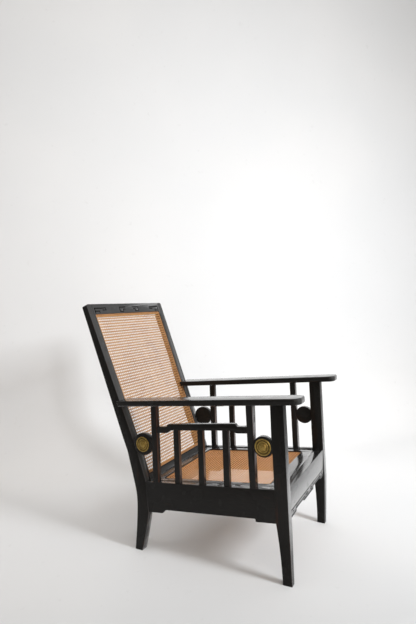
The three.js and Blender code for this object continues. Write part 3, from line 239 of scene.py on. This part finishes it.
def cane_panel(name, opening, material, body, replaced):
    """Six-way cane: pairs of strands both ways, and one diagonal each way between the crossings."""
    strands = Strands(opening["plane"], opening["depth"])
    base = opening["low"]
    rows = round((opening["high"] - base) / CANE_PITCH)
    row_pitch = (opening["high"] - base) / rows
    half_most = max(opening["half"](base), opening["half"](opening["high"]))
    columns = math.ceil(half_most / CANE_PITCH) + 1

    def strand(points, width, jitter, crown, shade):
        """One strand, a little out of place and of its own width."""
        if points:
            off = rng.uniform(-jitter, jitter)
            moved = [(u + off, v + off, h) for u, v, h in points]
            strands.add(moved, width * rng.uniform(*STRAND_WIDTH_SHARES), crown, shade)

    # Upright pairs: one strand of each pair behind the level ones, the other in front
    steps = [base + k * row_pitch / 2 for k in range(-1, 2 * rows + 2)]
    for column in range(-columns, columns + 1):
        for side in (-1, 1):
            points = line_points(
                opening, column * CANE_PITCH + side * PAIR_GAP / 2, 0, 0, 1,
                lambda s, side=side: side * WEAVE_HEIGHT * (
                    0.5 + 0.5 * math.cos(2 * math.pi * (s - base) / row_pitch)),
                steps,
            )
            width = UPRIGHT_WIDTH * opening["others"]
            strand(points, width, PAIR_JITTER, CROWN_SHARE, opening["shade"])

    # Level pairs
    steps = [k * CANE_PITCH for k in range(-columns, columns + 1, COLUMNS_BETWEEN_POINTS)]
    for row in range(rows + 1):
        for side in (-1, 1):
            v = base + row * row_pitch + side * PAIR_GAP / 2
            points = line_points(opening, 0, v, 1, 0, lambda s: 0, steps)
            strand(points, LEVEL_WIDTH * opening["level"], PAIR_JITTER, opening["crown"], 0)

    # Diagonals pass over the upright pairs one way and over the level pairs the other way
    slope = row_pitch / CANE_PITCH
    norm = math.hypot(1, slope)
    steps = [k * CANE_PITCH / 2 * norm for k in range(-2 * columns, 2 * columns + 1)]
    reach = columns + rows + 2
    for side in (-1, 1):
        for k in range(-reach, reach):
            points = line_points(
                opening, 0, base + (k + 0.5) * row_pitch, 1 / norm, side * slope / norm,
                lambda s, side=side: side * DIAGONAL_RISE_SHARE * WEAVE_HEIGHT * math.cos(
                    2 * math.pi * s / norm / CANE_PITCH),
                steps,
            )
            width = DIAGONAL_WIDTH * opening["others"]
            strand(points, width, DIAGONAL_JITTER, CROWN_SHARE, opening["shade"])

    piece = strands.piece(name, material, body, "cane")
    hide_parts(replaced)
    return piece


def rounded_outline(opening, grow):
    """The opening's outline, grown, with rounded corners, anticlockwise."""
    low, high = opening["low"] - grow, opening["high"] + grow
    radius = opening["corner"]
    points = []
    corners = [(1, low, -math.pi / 2), (1, high, 0), (-1, high, math.pi / 2), (-1, low, math.pi)]
    for side, v, start in corners:
        toward = 1 if v == low else -1
        centre_v = v + toward * radius
        centre_u = side * (opening["half"](v) + grow - radius)
        for index in range(CORNER_STEPS + 1):
            angle = start + math.pi / 2 * index / CORNER_STEPS
            points.append((centre_u + radius * math.cos(angle), centre_v + radius * math.sin(angle)))
    bend = KNEE_HEIGHT / BACK_COS
    if opening is BACK_OPENING:
        right = (opening["half"](bend) + grow, bend)
        left = (-right[0], bend)
        points.insert(CORNER_STEPS + 1, right)
        points.insert(3 * (CORNER_STEPS + 1) + 1, left)
    return points


def binder_piece(name, opening, material, body, replaced):
    """The flat crowned strip that covers the ends of the strands."""
    centre = rounded_outline(opening, BINDER_OUT)
    count = len(centre)
    vertices, faces = [], []
    for index, (u, v) in enumerate(centre):
        before, after = Vector(centre[index - 1]), Vector(centre[(index + 1) % count])
        here = Vector((u, v))
        arriving, leaving = (here - before).normalized(), (after - here).normalized()
        tangent = (arriving + leaving).normalized()
        outward = Vector((tangent.y, -tangent.x))
        stretch = 1 / max(MITRE_LIMIT, tangent.dot(arriving))
        for share, height in BINDER_SHARES:
            spot = here + outward * share * BINDER_WIDTH * stretch
            level = height * BINDER_HEIGHT - opening["depth"] + STRAND_THICKNESS
            vertices.append(opening["plane"] @ Vector((spot.x, spot.y, level)))
    ring = len(BINDER_SHARES)
    for index in range(count):
        here, there = index * ring, (index + 1) % count * ring
        for k in range(ring):
            faces.append((here + k, there + k, there + (k + 1) % ring, here + (k + 1) % ring))
    piece = make_piece(name, vertices, faces, material, body)
    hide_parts(replaced)
    return piece


# Materials
def new_material(name):
    material = bpy.data.materials.new(name)
    material.use_nodes = True
    tree = material.node_tree
    tree.nodes.clear()
    return material, tree


def node(tree, kind, inputs=None, **settings):
    """A new node. An input is a plain value or a socket of another node."""
    made = tree.nodes.new(kind)
    for key, value in settings.items():
        setattr(made, key, value)
    for key, value in (inputs or {}).items():
        if isinstance(value, bpy.types.NodeSocket):
            tree.links.new(value, made.inputs[key])
        else:
            made.inputs[key].default_value = value
    return made


def place_of(tree, scale=(1, 1, 1)):
    """The object's own coordinates in metres, scaled along each axis."""
    coordinates = node(tree, "ShaderNodeTexCoord")
    return node(
        tree, "ShaderNodeMapping", {"Vector": coordinates.outputs["Object"], "Scale": scale}
    ).outputs["Vector"]


def noise(tree, where, scale, detail=3.0, roughness=0.55):
    return node(
        tree, "ShaderNodeTexNoise",
        {"Vector": where, "Scale": scale, "Detail": detail, "Roughness": roughness},
    ).outputs["Fac"]


def between(tree, value, low, high, to_low=0.0, to_high=1.0):
    """Value carried from one range to another, clamped and smooth."""
    return node(
        tree, "ShaderNodeMapRange",
        {"Value": value, "From Min": low, "From Max": high, "To Min": to_low, "To Max": to_high},
        interpolation_type="SMOOTHSTEP",
    ).outputs["Result"]


def math_of(tree, operation, first, second=0.0):
    return node(tree, "ShaderNodeMath", {0: first, 1: second}, operation=operation).outputs[0]


def product(tree, *factors):
    result = factors[0]
    for factor in factors[1:]:
        result = math_of(tree, "MULTIPLY", result, factor)
    return result


def most(tree, *values):
    """The largest of several values."""
    result = values[0]
    for value in values[1:]:
        result = math_of(tree, "MAXIMUM", result, value)
    return result


def along_direction(tree, vector, direction):
    """How far a vector reaches in a direction."""
    return node(
        tree, "ShaderNodeVectorMath", {0: vector, 1: direction}, operation="DOT_PRODUCT"
    ).outputs["Value"]


def split(tree, vector):
    return node(tree, "ShaderNodeSeparateXYZ", {"Vector": vector}).outputs


def mix(tree, factor, first, second):
    """A colour between two colours."""
    made = node(tree, "ShaderNodeMix", {0: factor, 6: first, 7: second}, data_type="RGBA")
    return made.outputs[2]


def colour(red, green, blue):
    return (red, green, blue, 1.0)


def finish_material(material, tree, colours, roughness, bump, bump_distance, further=None):
    """Joins the parts of a material. Numbers that are the same all over go on the shader itself."""
    bumped = node(
        tree, "ShaderNodeBump", {"Height": bump, "Strength": BUMP_STRENGTH, "Distance": bump_distance}
    )
    shader = node(tree, "ShaderNodeBsdfPrincipled", {
        "Base Color": colours,
        "Roughness": roughness,
        "Normal": bumped.outputs["Normal"],
        **(further or {}),
    })
    node(tree, "ShaderNodeOutputMaterial", {"Surface": shader.outputs[0]})
    return material


BUMP_STRENGTH = 0.5

# Noises, each with its scale, detail and roughness. Those on wood are drawn out along the grain.
GRAIN_STRETCH = 0.045
FIBRES = (520, 4.0, 0.65)
PORES = (1196, 2.0, 0.5)
CLOUDS = (9.0, 3.0, 0.5)
SCUFFS = (60.0, 4.0, 0.6)
BREAKS = (42.0, 5.0, 0.7)
HAZE = (24.0, 4.0, 0.6)
HARDWOOD_FIBRES = (520, 5.0, 0.65)
HARDWOOD_BANDS = (60.0, 3.0, 0.5)
CANE_PATCHES = (14.0, 3.0, 0.55)
CANE_FLECKS = (600.0, 2.0, 0.5)
BRASS_STAINS = (120.0, 5.0, 0.65)
BRASS_SPECKS = (900.0, 3.0, 0.6)
PAPER_MOTTLE = (1.3, 2.0, 0.4)
PAPER_MARKS = (26.0, 4.0, 0.6)

# Heights of the relief, in metres
GRAIN_RELIEF = 0.0003
HARDWOOD_RELIEF = 0.0004
CANE_RELIEF = 0.0002
BRASS_RELIEF = 0.0005

# Ways that a face looks, from where it begins to count to where it counts in full
FORWARD = (-0.35, -0.93)
UPWARD = (0.5, 0.95)
DOWNWARD = (-0.6, -0.85)
INWARD = (-0.6, -0.9)

# Black polish and what shows through it, with a grey layer of dust and painted sheen, and painted
# shade in carved lines
BLACK = colour(0.0104, 0.0100, 0.0096)
SOOT = colour(0.0148, 0.0138, 0.0127)
DUST_AND_SHEEN = colour(0.050, 0.050, 0.050)
RUBBED = colour(0.070, 0.026, 0.013)
# Near black: painted shade in the carved lines
GROOVE_SHADE = colour(0.0012, 0.0011, 0.0010)
INNER_WOOD = colour(0.28, 0.128, 0.058)
INNER_GRAIN = colour(0.13, 0.052, 0.02)
UPWARD_DUST_AND_SHEEN = 0.3

# Rubbed places: the width of an edge, how far its rounded normal strays, and where wear breaks up
EDGE_REACH = 0.0035
EDGE_STRAY = (0.02, 0.2)
EDGE_BREAKS = (0.47, 0.68)
STREAKS = (0.36, 0.62)

# Heights on a front leg over which its painted sheen fades towards the foot and the arm, to a low
# share, leaving a painted reflection at the height of the front rail
FOOT_FADE = (0.08, 0.25)
HEAD_FADE = (0.50, 0.32)
FADED_SHARE = 0.25

# The wax shines on surfaces seen at a low angle, as a thin coat over dull polish
WAX_ANGLES = (0.42, 0.74)
WAX_SHARES = (0.03, 1.0)
POLISH_IOR = 1.13
WAX_IOR = 3.4
WAX_ROUGHNESS = 0.15

# Bare wood shows above this height, from a little in front of the cane
BARE_WOOD_FOOT = (0.30, 0.33)
BARE_WOOD_MARGIN = 0.001

# Where the carved lines lie: each pair is where they begin to show and where they show in full.
# The floor is a depth in a line, and lines end above it. The reach is the width of the painted shade
# along the edges of the carving.
LINE_MOUTH = (0.0001, 0.0003)
CARVED_LIMITS = {
    "front_rail": {
        "side": (0.2372, 0.2368),
        "top": (0.245, 0.243),
        "floor": (0.0030, 0.0027),
        "reach": 0.0022,
    },
    "crest": {
        "foot": (0.9762, 0.9766),
        "top": (1.013, 1.012),
        "floor": (0.0024, 0.0020),
        "reach": 0.0016,
    },
}


def grain_vector(tree, axis):
    scale = [1.0, 1.0, 1.0]
    scale[axis] = GRAIN_STRETCH
    return place_of(tree, scale)


def edge_mask(tree, normal, reach):
    """One along edges, nought on flat faces."""
    bevel = node(tree, "ShaderNodeBevel", {"Radius": reach}, samples=4)
    likeness = along_direction(tree, bevel.outputs["Normal"], normal)
    return between(tree, math_of(tree, "SUBTRACT", 1.0, likeness), *EDGE_STRAY)


def behind_back(tree, where):
    """How far a place lies behind the front face of the back."""
    plane_y = math_of(tree, "ADD", product(tree, where["Z"], BACK_SLOPE), FRONT_Y + BACK_FOOT_Y)
    return product(tree, math_of(tree, "SUBTRACT", where["Y"], plane_y), BACK_COS)


def carved_line_shade(tree, where, normal, carved):
    """One where painted shade goes, in the sunk lines of the front rail or the crest and along the
    edges of their carving; nought elsewhere.
    """
    limits = CARVED_LIMITS[carved]
    if carved == "front_rail":
        sunk = math_of(tree, "SUBTRACT", where["Y"], FRONT_Y + FRONT_RAIL_SETBACK)
        inside = between(tree, math_of(tree, "ABSOLUTE", where["X"]), *limits["side"])
    else:
        sunk = behind_back(tree, where)
        inside = between(tree, where["Z"], *limits["foot"])
    zone = product(tree, inside, between(tree, where["Z"], *limits["top"]))
    lines = product(tree, between(tree, sunk, *LINE_MOUTH), between(tree, sunk, *limits["floor"]))
    return product(tree, zone, most(tree, lines, edge_mask(tree, normal, limits["reach"])))


def bare_wood(tree, where, facing, inner_wood):
    """One on the faces that look into the back's opening behind the cane, nought elsewhere."""
    if inner_wood == "sides":
        side = math_of(tree, "SIGN", where["X"])
        inward = between(tree, product(tree, facing["X"], side), *INWARD)
    else:
        inward = between(tree, facing["Z"], *DOWNWARD)
    depths = (BACK_CANE_DEPTH - BARE_WOOD_MARGIN, BACK_CANE_DEPTH)
    behind = between(tree, behind_back(tree, where), *depths)
    return product(tree, inward, behind, between(tree, where["Z"], *BARE_WOOD_FOOT))


def worn_places(tree, along, clouds, normal, forward, wear, front_wear):
    """One where the polish is rubbed through: at edges, in patches and on forward faces."""
    scuffs = noise(tree, along, *SCUFFS)
    broken = between(tree, noise(tree, along, *BREAKS), *EDGE_BREAKS)
    edges = product(tree, edge_mask(tree, normal, EDGE_REACH), broken, 0.3 + 0.6 * wear)
    start, full = 0.36 - 0.05 * wear, 0.48 - 0.05 * wear
    patches = between(tree, product(tree, scuffs, clouds), start, full, 0.0, 0.5 * wear)
    worn = most(tree, edges, patches)
    if front_wear:
        streaks = between(tree, scuffs, *STREAKS)
        worn = most(tree, worn, product(tree, forward, streaks, front_wear))
    return worn


def polish(name, axis, wear, front_wear=0.0, inner_wood="", dust_and_sheen_amount=1.0, carved="", painted_sheen_ends=False):
    """Black polish over open-grained wood, rubbed through to red-brown in places and at edges.

    A thin grey layer of wax and dust, with painted sheen, lies on what faces up or forwards; on
    the front legs the painted sheen can fade above and below the front rail, a painted reflection.
    The faces that look into the back's opening behind the cane are bare wood. Sunk lines and the
    edges of their carving are painted dark, as painted shade.
    """
    material, tree = new_material(name)
    along, plain = grain_vector(tree, axis), place_of(tree)
    normal = node(tree, "ShaderNodeNewGeometry").outputs["True Normal"]
    facing, where = split(tree, normal), split(tree, plain)
    forward = between(tree, facing["Y"], *FORWARD)
    upward = between(tree, facing["Z"], *UPWARD)
    fibres = noise(tree, along, *FIBRES)
    pores = noise(tree, along, *PORES)
    clouds = noise(tree, plain, *CLOUDS)
    worn = worn_places(tree, along, clouds, normal, forward, wear, front_wear)

    # The grey layer on what faces up or forwards is dust and painted sheen
    dust_and_sheen_here = dust_and_sheen_amount * (1 - 0.75 * front_wear)
    # On the front legs the painted sheen fades above and below the front rail: a painted reflection
    # band
    if painted_sheen_ends:
        foot = between(tree, where["Z"], *FOOT_FADE, FADED_SHARE * dust_and_sheen_amount, dust_and_sheen_amount)
        dust_and_sheen_here = product(tree, foot, between(tree, where["Z"], *HEAD_FADE, FADED_SHARE, 1.0))
    dust_and_sheen_mask = most(tree, product(tree, forward, dust_and_sheen_here), product(tree, upward, UPWARD_DUST_AND_SHEEN))
    cloudy = between(tree, noise(tree, along, *HAZE), 0.3, 0.7, 0.7, 1.0)
    base = mix(tree, between(tree, fibres, 0.35, 0.7), BLACK, SOOT)
    with_dust_and_sheen = mix(tree, product(tree, dust_and_sheen_mask, cloudy), base, DUST_AND_SHEEN)
    colours = mix(tree, worn, with_dust_and_sheen, RUBBED)
    bare = groove_shade = 0.0
    if inner_wood:
        bare = bare_wood(tree, where, facing, inner_wood)
        colours = mix(tree, bare, colours, mix(tree, fibres, INNER_WOOD, INNER_GRAIN))
    if carved:
        # Painted shade in the carved lines and along the edges of the carving
        groove_shade = carved_line_shade(tree, where, normal, carved)
        colours = mix(tree, groove_shade, colours, GROOVE_SHADE)

    gloss = between(tree, clouds, 0.3, 0.7, 0.2, 0.34)
    rough = math_of(tree, "ADD", gloss, product(tree, worn, 0.3))
    relief = math_of(tree, "ADD", product(tree, pores, 0.5), fibres)
    grazing = node(tree, "ShaderNodeLayerWeight", {"Blend": 0.5}).outputs["Facing"]
    dull = most(tree, groove_shade, bare, product(tree, worn, 0.6))
    wax = between(tree, grazing, *WAX_ANGLES, *WAX_SHARES)
    coat = product(tree, wax, math_of(tree, "SUBTRACT", 1.0, dull))
    if painted_sheen_ends:
        coat = product(tree, coat, dust_and_sheen_here, 1 / dust_and_sheen_amount)
    level = math_of(tree, "SUBTRACT", 0.5, product(tree, groove_shade, 0.5))
    return finish_material(material, tree, colours, rough, relief, GRAIN_RELIEF, {
        "Coat Weight": coat,
        "Coat Roughness": WAX_ROUGHNESS,
        "Coat IOR": WAX_IOR,
        "Specular IOR Level": level,
        "IOR": POLISH_IOR,
    })


HARDWOOD = colour(0.075, 0.034, 0.016)
PALE_HARDWOOD = colour(0.17, 0.085, 0.042)
DARK_HARDWOOD = colour(0.05, 0.024, 0.013)


def plain_wood(name, axis):
    """Bare reddish-brown hardwood, dulled by age."""
    material, tree = new_material(name)
    along = grain_vector(tree, axis)
    fibres = noise(tree, along, *HARDWOOD_FIBRES)
    bands = noise(tree, along, *HARDWOOD_BANDS)
    base = mix(tree, between(tree, fibres, 0.3, 0.7), HARDWOOD, PALE_HARDWOOD)
    colours = mix(tree, between(tree, bands, 0.4, 0.75), base, DARK_HARDWOOD)
    rough = between(tree, bands, 0.3, 0.7, 0.55, 0.75)
    return finish_material(material, tree, colours, rough, fibres, HARDWOOD_RELIEF)


# Tones over 1 are painted shade on strands that lie lower in the weave. Flecks are darker still.
SHADED_TONES = (1.2, 1.8)
FLECK = colour(0.25, 0.10, 0.04)


def cane_material(name, pale, dark, shaded_and_aged, ageing=0.5):
    """Golden-brown cane with a satin skin, each strand with its own tone, darker in aged places and
    in painted shade.
    """
    material, tree = new_material(name)
    tone = node(tree, "ShaderNodeAttribute", attribute_name="tone").outputs["Fac"]
    plain = place_of(tree)
    patches = noise(tree, plain, *CANE_PATCHES)
    flecks = noise(tree, plain, *CANE_FLECKS)
    plain_tone = mix(tree, between(tree, tone, 0.0, 1.0), pale, dark)
    toned = mix(tree, between(tree, tone, *SHADED_TONES), plain_tone, shaded_and_aged)
    aged = mix(tree, between(tree, patches, 0.45, 0.75, 0.0, ageing), toned, shaded_and_aged)
    colours = mix(tree, between(tree, flecks, 0.55, 0.8, 0.0, ageing), aged, FLECK)
    rough = between(tree, patches, 0.3, 0.7, 0.42, 0.58)
    return finish_material(
        material, tree, colours, rough, flecks, CANE_RELIEF, {"Specular IOR Level": 0.3}
    )


# Brass: where the bosses stand, how far out of their discs the patina fades, and their colours
BOSS_FOOT = 0.2713
PATINA_FADE = (0.0030, 0.0014)
GOLD = colour(0.42, 0.29, 0.087)
OLD_GOLD = colour(0.25, 0.165, 0.046)
DULL_BRASS = colour(0.09, 0.065, 0.025)
PATINA = colour(0.035, 0.025, 0.012)


def brass_material(name):
    """Aged brass: olive-gold with brown patina in the hollows and rubbed high places."""
    material, tree = new_material(name)
    plain = place_of(tree)
    stains = noise(tree, plain, *BRASS_STAINS)
    specks = noise(tree, plain, *BRASS_SPECKS)
    out = math_of(tree, "ABSOLUTE", split(tree, plain)["X"])
    hollow = between(tree, math_of(tree, "SUBTRACT", out, BOSS_FOOT), *PATINA_FADE)
    gold = mix(tree, between(tree, stains, 0.35, 0.65), GOLD, OLD_GOLD)
    dulled = mix(tree, between(tree, specks, 0.5, 0.75, 0.0, 0.6), gold, DULL_BRASS)
    colours = mix(tree, product(tree, hollow, 0.8), dulled, PATINA)
    rough = between(tree, stains, 0.3, 0.7, 0.3, 0.55)
    relief = math_of(tree, "ADD", stains, specks)
    return finish_material(material, tree, colours, rough, relief, BRASS_RELIEF, {"Metallic": 1.0})


def longest_axis(name):
    low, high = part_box(name)
    size = high - low
    return max(range(3), key=lambda axis: size[axis])


def finish_of(name):
    """The kind of finish that a CAD node has, by its name."""
    for start, kind in KINDS.items():
        if name.startswith(start):
            return kind
    return "rail"


KINDS = {
    "roundel_disc": "disc",
    "rear_leg_and_stile": "stile",
    "back_strip": "stile",
    "crest_rail": "crest",
    "slat_": "post",
    "tall_post": "post",
    "front_leg": "front",
    "front_rail": "apron",
}
# The share of grey dust and painted sheen on forward faces is given for each finish
FINISHES = {
    "disc": {"wear": 0.0, "dust_and_sheen_amount": 0.0},
    "stile": {"wear": 0.3, "inner_wood": "sides", "dust_and_sheen_amount": 1.1},
    "crest": {"wear": 0.3, "inner_wood": "under", "carved": "crest", "dust_and_sheen_amount": 1.35},
    "post": {"wear": 0.45, "front_wear": 0.6, "dust_and_sheen_amount": 0.75},
    "front": {"wear": 0.6, "dust_and_sheen_amount": 1.25, "painted_sheen_ends": True},
    "apron": {"wear": 0.3, "dust_and_sheen_amount": 1.5, "carved": "front_rail"},
    "rail": {"wear": 0.3, "dust_and_sheen_amount": 0.6},
}
CANE = cane_material(
    "cane_skin",
    pale=colour(0.54, 0.285, 0.105),
    dark=colour(0.36, 0.17, 0.055),
    shaded_and_aged=colour(0.29, 0.125, 0.038),
)
# The seat's cane is a paler, less aged copy of the back's cane: painted light for a seat that gets
# too little light
SEAT_CANE_LIT_COPY = cane_material(
    "seat_cane_lit_copy",
    pale=colour(1.0, 0.56, 0.235),
    dark=colour(1.0, 0.50, 0.19),
    shaded_and_aged=colour(0.40, 0.17, 0.06),
    ageing=0.1,
)
CANE_EDGE = cane_material(
    "cane_edge",
    pale=colour(0.45, 0.22, 0.09),
    dark=colour(0.36, 0.165, 0.065),
    shaded_and_aged=colour(0.24, 0.10, 0.038),
)
BRASS = brass_material("aged_brass")
made_finishes = {}


def finish_for(kind, axis):
    """One material for each finish and direction of grain, made when first needed."""
    key = (kind, axis)
    if key not in made_finishes:
        name = f"{kind}_{'xyz'[axis]}"
        made_finishes[key] = (
            plain_wood(name, axis) if kind == "plain_wood" else polish(name, axis, **FINISHES[kind])
        )
    return made_finishes[key]


# Softened edges of the CAD nodes, narrower on brass and where lines are carved
WELD_DISTANCE = 1e-5
FLAT_ANGLE = math.radians(0.6)
EDGE_ANGLE = math.radians(32)
EDGE_WIDTH = 0.0012
FINE_EDGE_WIDTH = 0.0004
CARVED_NODES = ("front_rail", "crest_rail")


def dress(name, thing):
    """Gives a CAD node its material and softens its edges."""
    slot = thing.material_slots[0].material.name.split(".")[0]
    if slot in ("ebonised_wood", "worn_ebonised_wood"):
        material = finish_for(finish_of(name), longest_axis(name))
    elif slot == "plain_wood":
        material = finish_for("plain_wood", longest_axis(name))
    else:
        material = {"brass": BRASS, "cane": CANE}[slot]
    thing.material_slots[0].material = material
    soften(thing, FINE_EDGE_WIDTH if slot == "brass" or name in CARVED_NODES else EDGE_WIDTH)


def smooth_group():
    """Geometry nodes that mark every face as smooth."""
    group = bpy.data.node_groups.new("smooth_faces", "GeometryNodeTree")
    group.interface.new_socket("Geometry", in_out="INPUT", socket_type="NodeSocketGeometry")
    group.interface.new_socket("Geometry", in_out="OUTPUT", socket_type="NodeSocketGeometry")
    start, end = group.nodes.new("NodeGroupInput"), group.nodes.new("NodeGroupOutput")
    smooth = group.nodes.new("GeometryNodeSetShadeSmooth")
    group.links.new(start.outputs[0], smooth.inputs[0])
    group.links.new(smooth.outputs[0], end.inputs[0])
    return group


SMOOTH = smooth_group()


def soften(thing, width):
    """Welds the faceted mesh, merges its flat faces and rounds its edges a little."""
    weld = thing.modifiers.new("weld", "WELD")
    weld.merge_threshold = WELD_DISTANCE
    flat = thing.modifiers.new("flat", "DECIMATE")
    flat.decimate_type = "DISSOLVE"
    flat.angle_limit = FLAT_ANGLE
    smooth = thing.modifiers.new("smooth", "NODES")
    smooth.node_group = SMOOTH
    bevel = thing.modifiers.new("bevel", "BEVEL")
    bevel.width = width
    bevel.segments = 2
    bevel.limit_method = "ANGLE"
    bevel.angle_limit = EDGE_ANGLE
    bevel.use_clamp_overlap = True
    bevel.harden_normals = True


for name, thing in NODES.items():
    dress(name, thing)

cane_panel("back_cane_weave", BACK_OPENING, CANE, "frame", "back_cane")
cane_panel("seat_cane_weave", SEAT_OPENING, SEAT_CANE_LIT_COPY, "loose_seat", "seat_cane")
binder_piece("back_cane_border", BACK_OPENING, CANE_EDGE, "frame", "back_cane_binder")
binder_piece("seat_cane_border", SEAT_OPENING, CANE_EDGE, "loose_seat", "seat_cane_binder")

# Camera
CAMERA_PLACE = Vector((-1.829017, -0.530038 + FRONT_Y, 0.993962))
CAMERA_YAW = 1.0875
CAMERA_PITCH = -0.0129
CAMERA_ROLL = -0.0352
SENSOR = 36.0
FOCAL_LENGTH = 26.997


def make_camera():
    ahead = Vector((
        math.sin(CAMERA_YAW) * math.cos(CAMERA_PITCH),
        math.cos(CAMERA_YAW) * math.cos(CAMERA_PITCH),
        math.sin(CAMERA_PITCH),
    ))
    level = ahead.cross(Vector((0, 0, 1))).normalized()
    upright = level.cross(ahead)
    c, s = math.cos(CAMERA_ROLL), math.sin(CAMERA_ROLL)
    right, up = c * level + s * upright, c * upright - s * level
    data = bpy.data.cameras.new("camera")
    data.sensor_width, data.lens = SENSOR, FOCAL_LENGTH
    camera = bpy.data.objects.new("camera", data)
    bpy.context.scene.collection.objects.link(camera)
    rows = [(right[i], up[i], -ahead[i], CAMERA_PLACE[i]) for i in range(3)]
    camera.matrix_world = Matrix([*rows, (0, 0, 0, 1)])
    bpy.context.scene.camera = camera
    return ahead


AHEAD = make_camera()


# Studio. The wall stands nearer at the left of the picture than at the right.
WALL_TURN = 0.29
WALL_DISTANCE = 3.19
WALL_HEIGHT = 5.0
WALL_RADIUS = 0.45
WALL_STEPS = 24
FLOOR_START = -1.5
SWEEP_HALF_WIDTH = 6.0

# Paper: its palest place in depth, height and breadth, the way to painted shade, and how much painted
# shade
PAPER_DEPTH = (3.0, 1.45, 0.28)
PAPER_HEIGHT = (0.7, 2.25, 0.07)
PAPER_BREADTH = (0.85, 1.6, 0.08)
MOST_PAINTED_SHADE = 0.42
PAPER = colour(0.865, 0.87, 0.875)
PALE_PAPER = colour(0.90, 0.90, 0.90)
MARKED_PAPER = colour(0.72, 0.715, 0.71)
NO_LIGHT = colour(0.0, 0.0, 0.0)


def paper_material(start, flat, across):
    """White paper, palest at the foot of the wall and greyer towards its ends and its top and on the
    floor towards the camera, in painted shade.

    It doesn't show from behind, so the chair can be seen from every side.
    """
    material, tree = new_material("pale_paper")
    plain = place_of(tree)

    def shade_away_from(direction, middle, reach, share):
        """Painted shade, which rises with the square of the way from the palest place."""
        palest = middle + start.dot(direction)
        way = math_of(tree, "SUBTRACT", along_direction(tree, plain, direction), palest)
        away = math_of(tree, "ABSOLUTE", product(tree, way, 1 / reach))
        return product(tree, math_of(tree, "POWER", away, 2.0), share)

    upwards = math_of(
        tree, "ADD", shade_away_from(Vector((0, 0, 1)), *PAPER_HEIGHT), shade_away_from(across, *PAPER_BREADTH))
    painted_shade = math_of(tree, "ADD", shade_away_from(flat, *PAPER_DEPTH), upwards)
    mottle = between(tree, noise(tree, plain, *PAPER_MOTTLE), 0.3, 0.7)
    marks = between(tree, noise(tree, plain, *PAPER_MARKS), 0.62, 0.8, 0.0, 0.35)
    marked = mix(tree, marks, mix(tree, mottle, PAPER, PALE_PAPER), MARKED_PAPER)
    tone = mix(tree, math_of(tree, "MINIMUM", painted_shade, MOST_PAINTED_SHADE), marked, NO_LIGHT)
    rough = between(tree, mottle, 0.0, 1.0, 0.8, 0.9)
    shader = node(tree, "ShaderNodeBsdfPrincipled", {"Base Color": tone, "Roughness": rough})
    clear = node(tree, "ShaderNodeBsdfTransparent")
    behind = node(tree, "ShaderNodeNewGeometry").outputs["Backfacing"]
    shown = node(
        tree, "ShaderNodeMixShader", {0: behind, 1: shader.outputs[0], 2: clear.outputs[0]})
    node(tree, "ShaderNodeOutputMaterial", {"Surface": shown.outputs[0]})
    return material


def make_sweep():
    """A pale floor that curves up into a wall behind the chair."""
    view = Vector((AHEAD.x, AHEAD.y, 0)).normalized()
    flat = (view - WALL_TURN * Vector((view.y, -view.x, 0))).normalized()
    across = Vector((flat.y, -flat.x, 0))
    start = Vector((CAMERA_PLACE.x, CAMERA_PLACE.y, 0))
    bend = WALL_DISTANCE - WALL_RADIUS
    turns = [math.pi / 2 * k / WALL_STEPS for k in range(1, WALL_STEPS + 1)]
    profile = [
        (FLOOR_START, 0.0),
        (bend, 0.0),
        *[(bend + WALL_RADIUS * math.sin(a), WALL_RADIUS - WALL_RADIUS * math.cos(a)) for a in turns],
        (WALL_DISTANCE, WALL_HEIGHT),
    ]
    vertices = [
        start + flat * d + across * side * SWEEP_HALF_WIDTH + Vector((0, 0, h))
        for d, h in profile for side in (-1, 1)
    ]
    faces = [(2 * k, 2 * k + 1, 2 * k + 3, 2 * k + 2) for k in range(len(profile) - 1)]
    mesh = bpy.data.meshes.new("sweep")
    mesh.from_pydata([tuple(v) for v in vertices], [], faces)
    mesh.polygons.foreach_set("use_smooth", [True] * len(mesh.polygons))
    mesh.materials.append(paper_material(start, flat, across))
    sweep = bpy.data.objects.new("sweep", mesh)
    bpy.context.scene.collection.objects.link(sweep)


make_sweep()

# Lamps: place, what each is aimed at, width and height, watts, tint
LAMPS = {
    "key": ((-0.41, -2.72, 2.03), (0, 0, 0.4), (0.55, 0.85), 83, (0.93, 0.965, 1.0)),
    "overhead": ((0.6, 0.3, 4.2), (0.3, 0.2, 0), (4.0, 4.0), 13.5, (1.0, 1.0, 1.0)),
    "fill": ((-2.7, -1.9, 1.3), (0, 0, 0.2), (2.0, 1.4), 26, (1.0, 0.89, 0.80)),
}


def make_lamp(name, place, aim, size, power, tint):
    data = bpy.data.lights.new(name, "AREA")
    data.shape, data.size, data.size_y = "RECTANGLE", size[0], size[1]
    data.energy, data.color = power, tint
    lamp = bpy.data.objects.new(name, data)
    bpy.context.scene.collection.objects.link(lamp)
    lamp.location = place
    lamp.rotation_mode = "QUATERNION"
    lamp.rotation_quaternion = (Vector(aim) - Vector(place)).to_track_quat("-Z", "Y")


for name, facts in LAMPS.items():
    make_lamp(name, *facts)

# Surroundings: dark on the near side of the chair and pale beyond it
SIDE_REACH = (-1.0, -0.35)
DARK_SIDE = colour(0.06, 0.057, 0.054)
PALE_SIDE = colour(0.77, 0.745, 0.715)
WORLD_STRENGTH = 1.04


def make_world():
    world = bpy.data.worlds.new("studio")
    world.use_nodes = True
    tree = world.node_tree
    tree.nodes.clear()
    direction = node(tree, "ShaderNodeTexCoord").outputs["Generated"]
    side = between(tree, split(tree, direction)["X"], *SIDE_REACH)
    tone = mix(tree, side, DARK_SIDE, PALE_SIDE)
    background = node(tree, "ShaderNodeBackground", {"Color": tone, "Strength": WORLD_STRENGTH})
    node(tree, "ShaderNodeOutputWorld", {"Surface": background.outputs[0]})
    bpy.context.scene.world = world


make_world()
bpy.context.scene.view_settings.view_transform = "Standard"
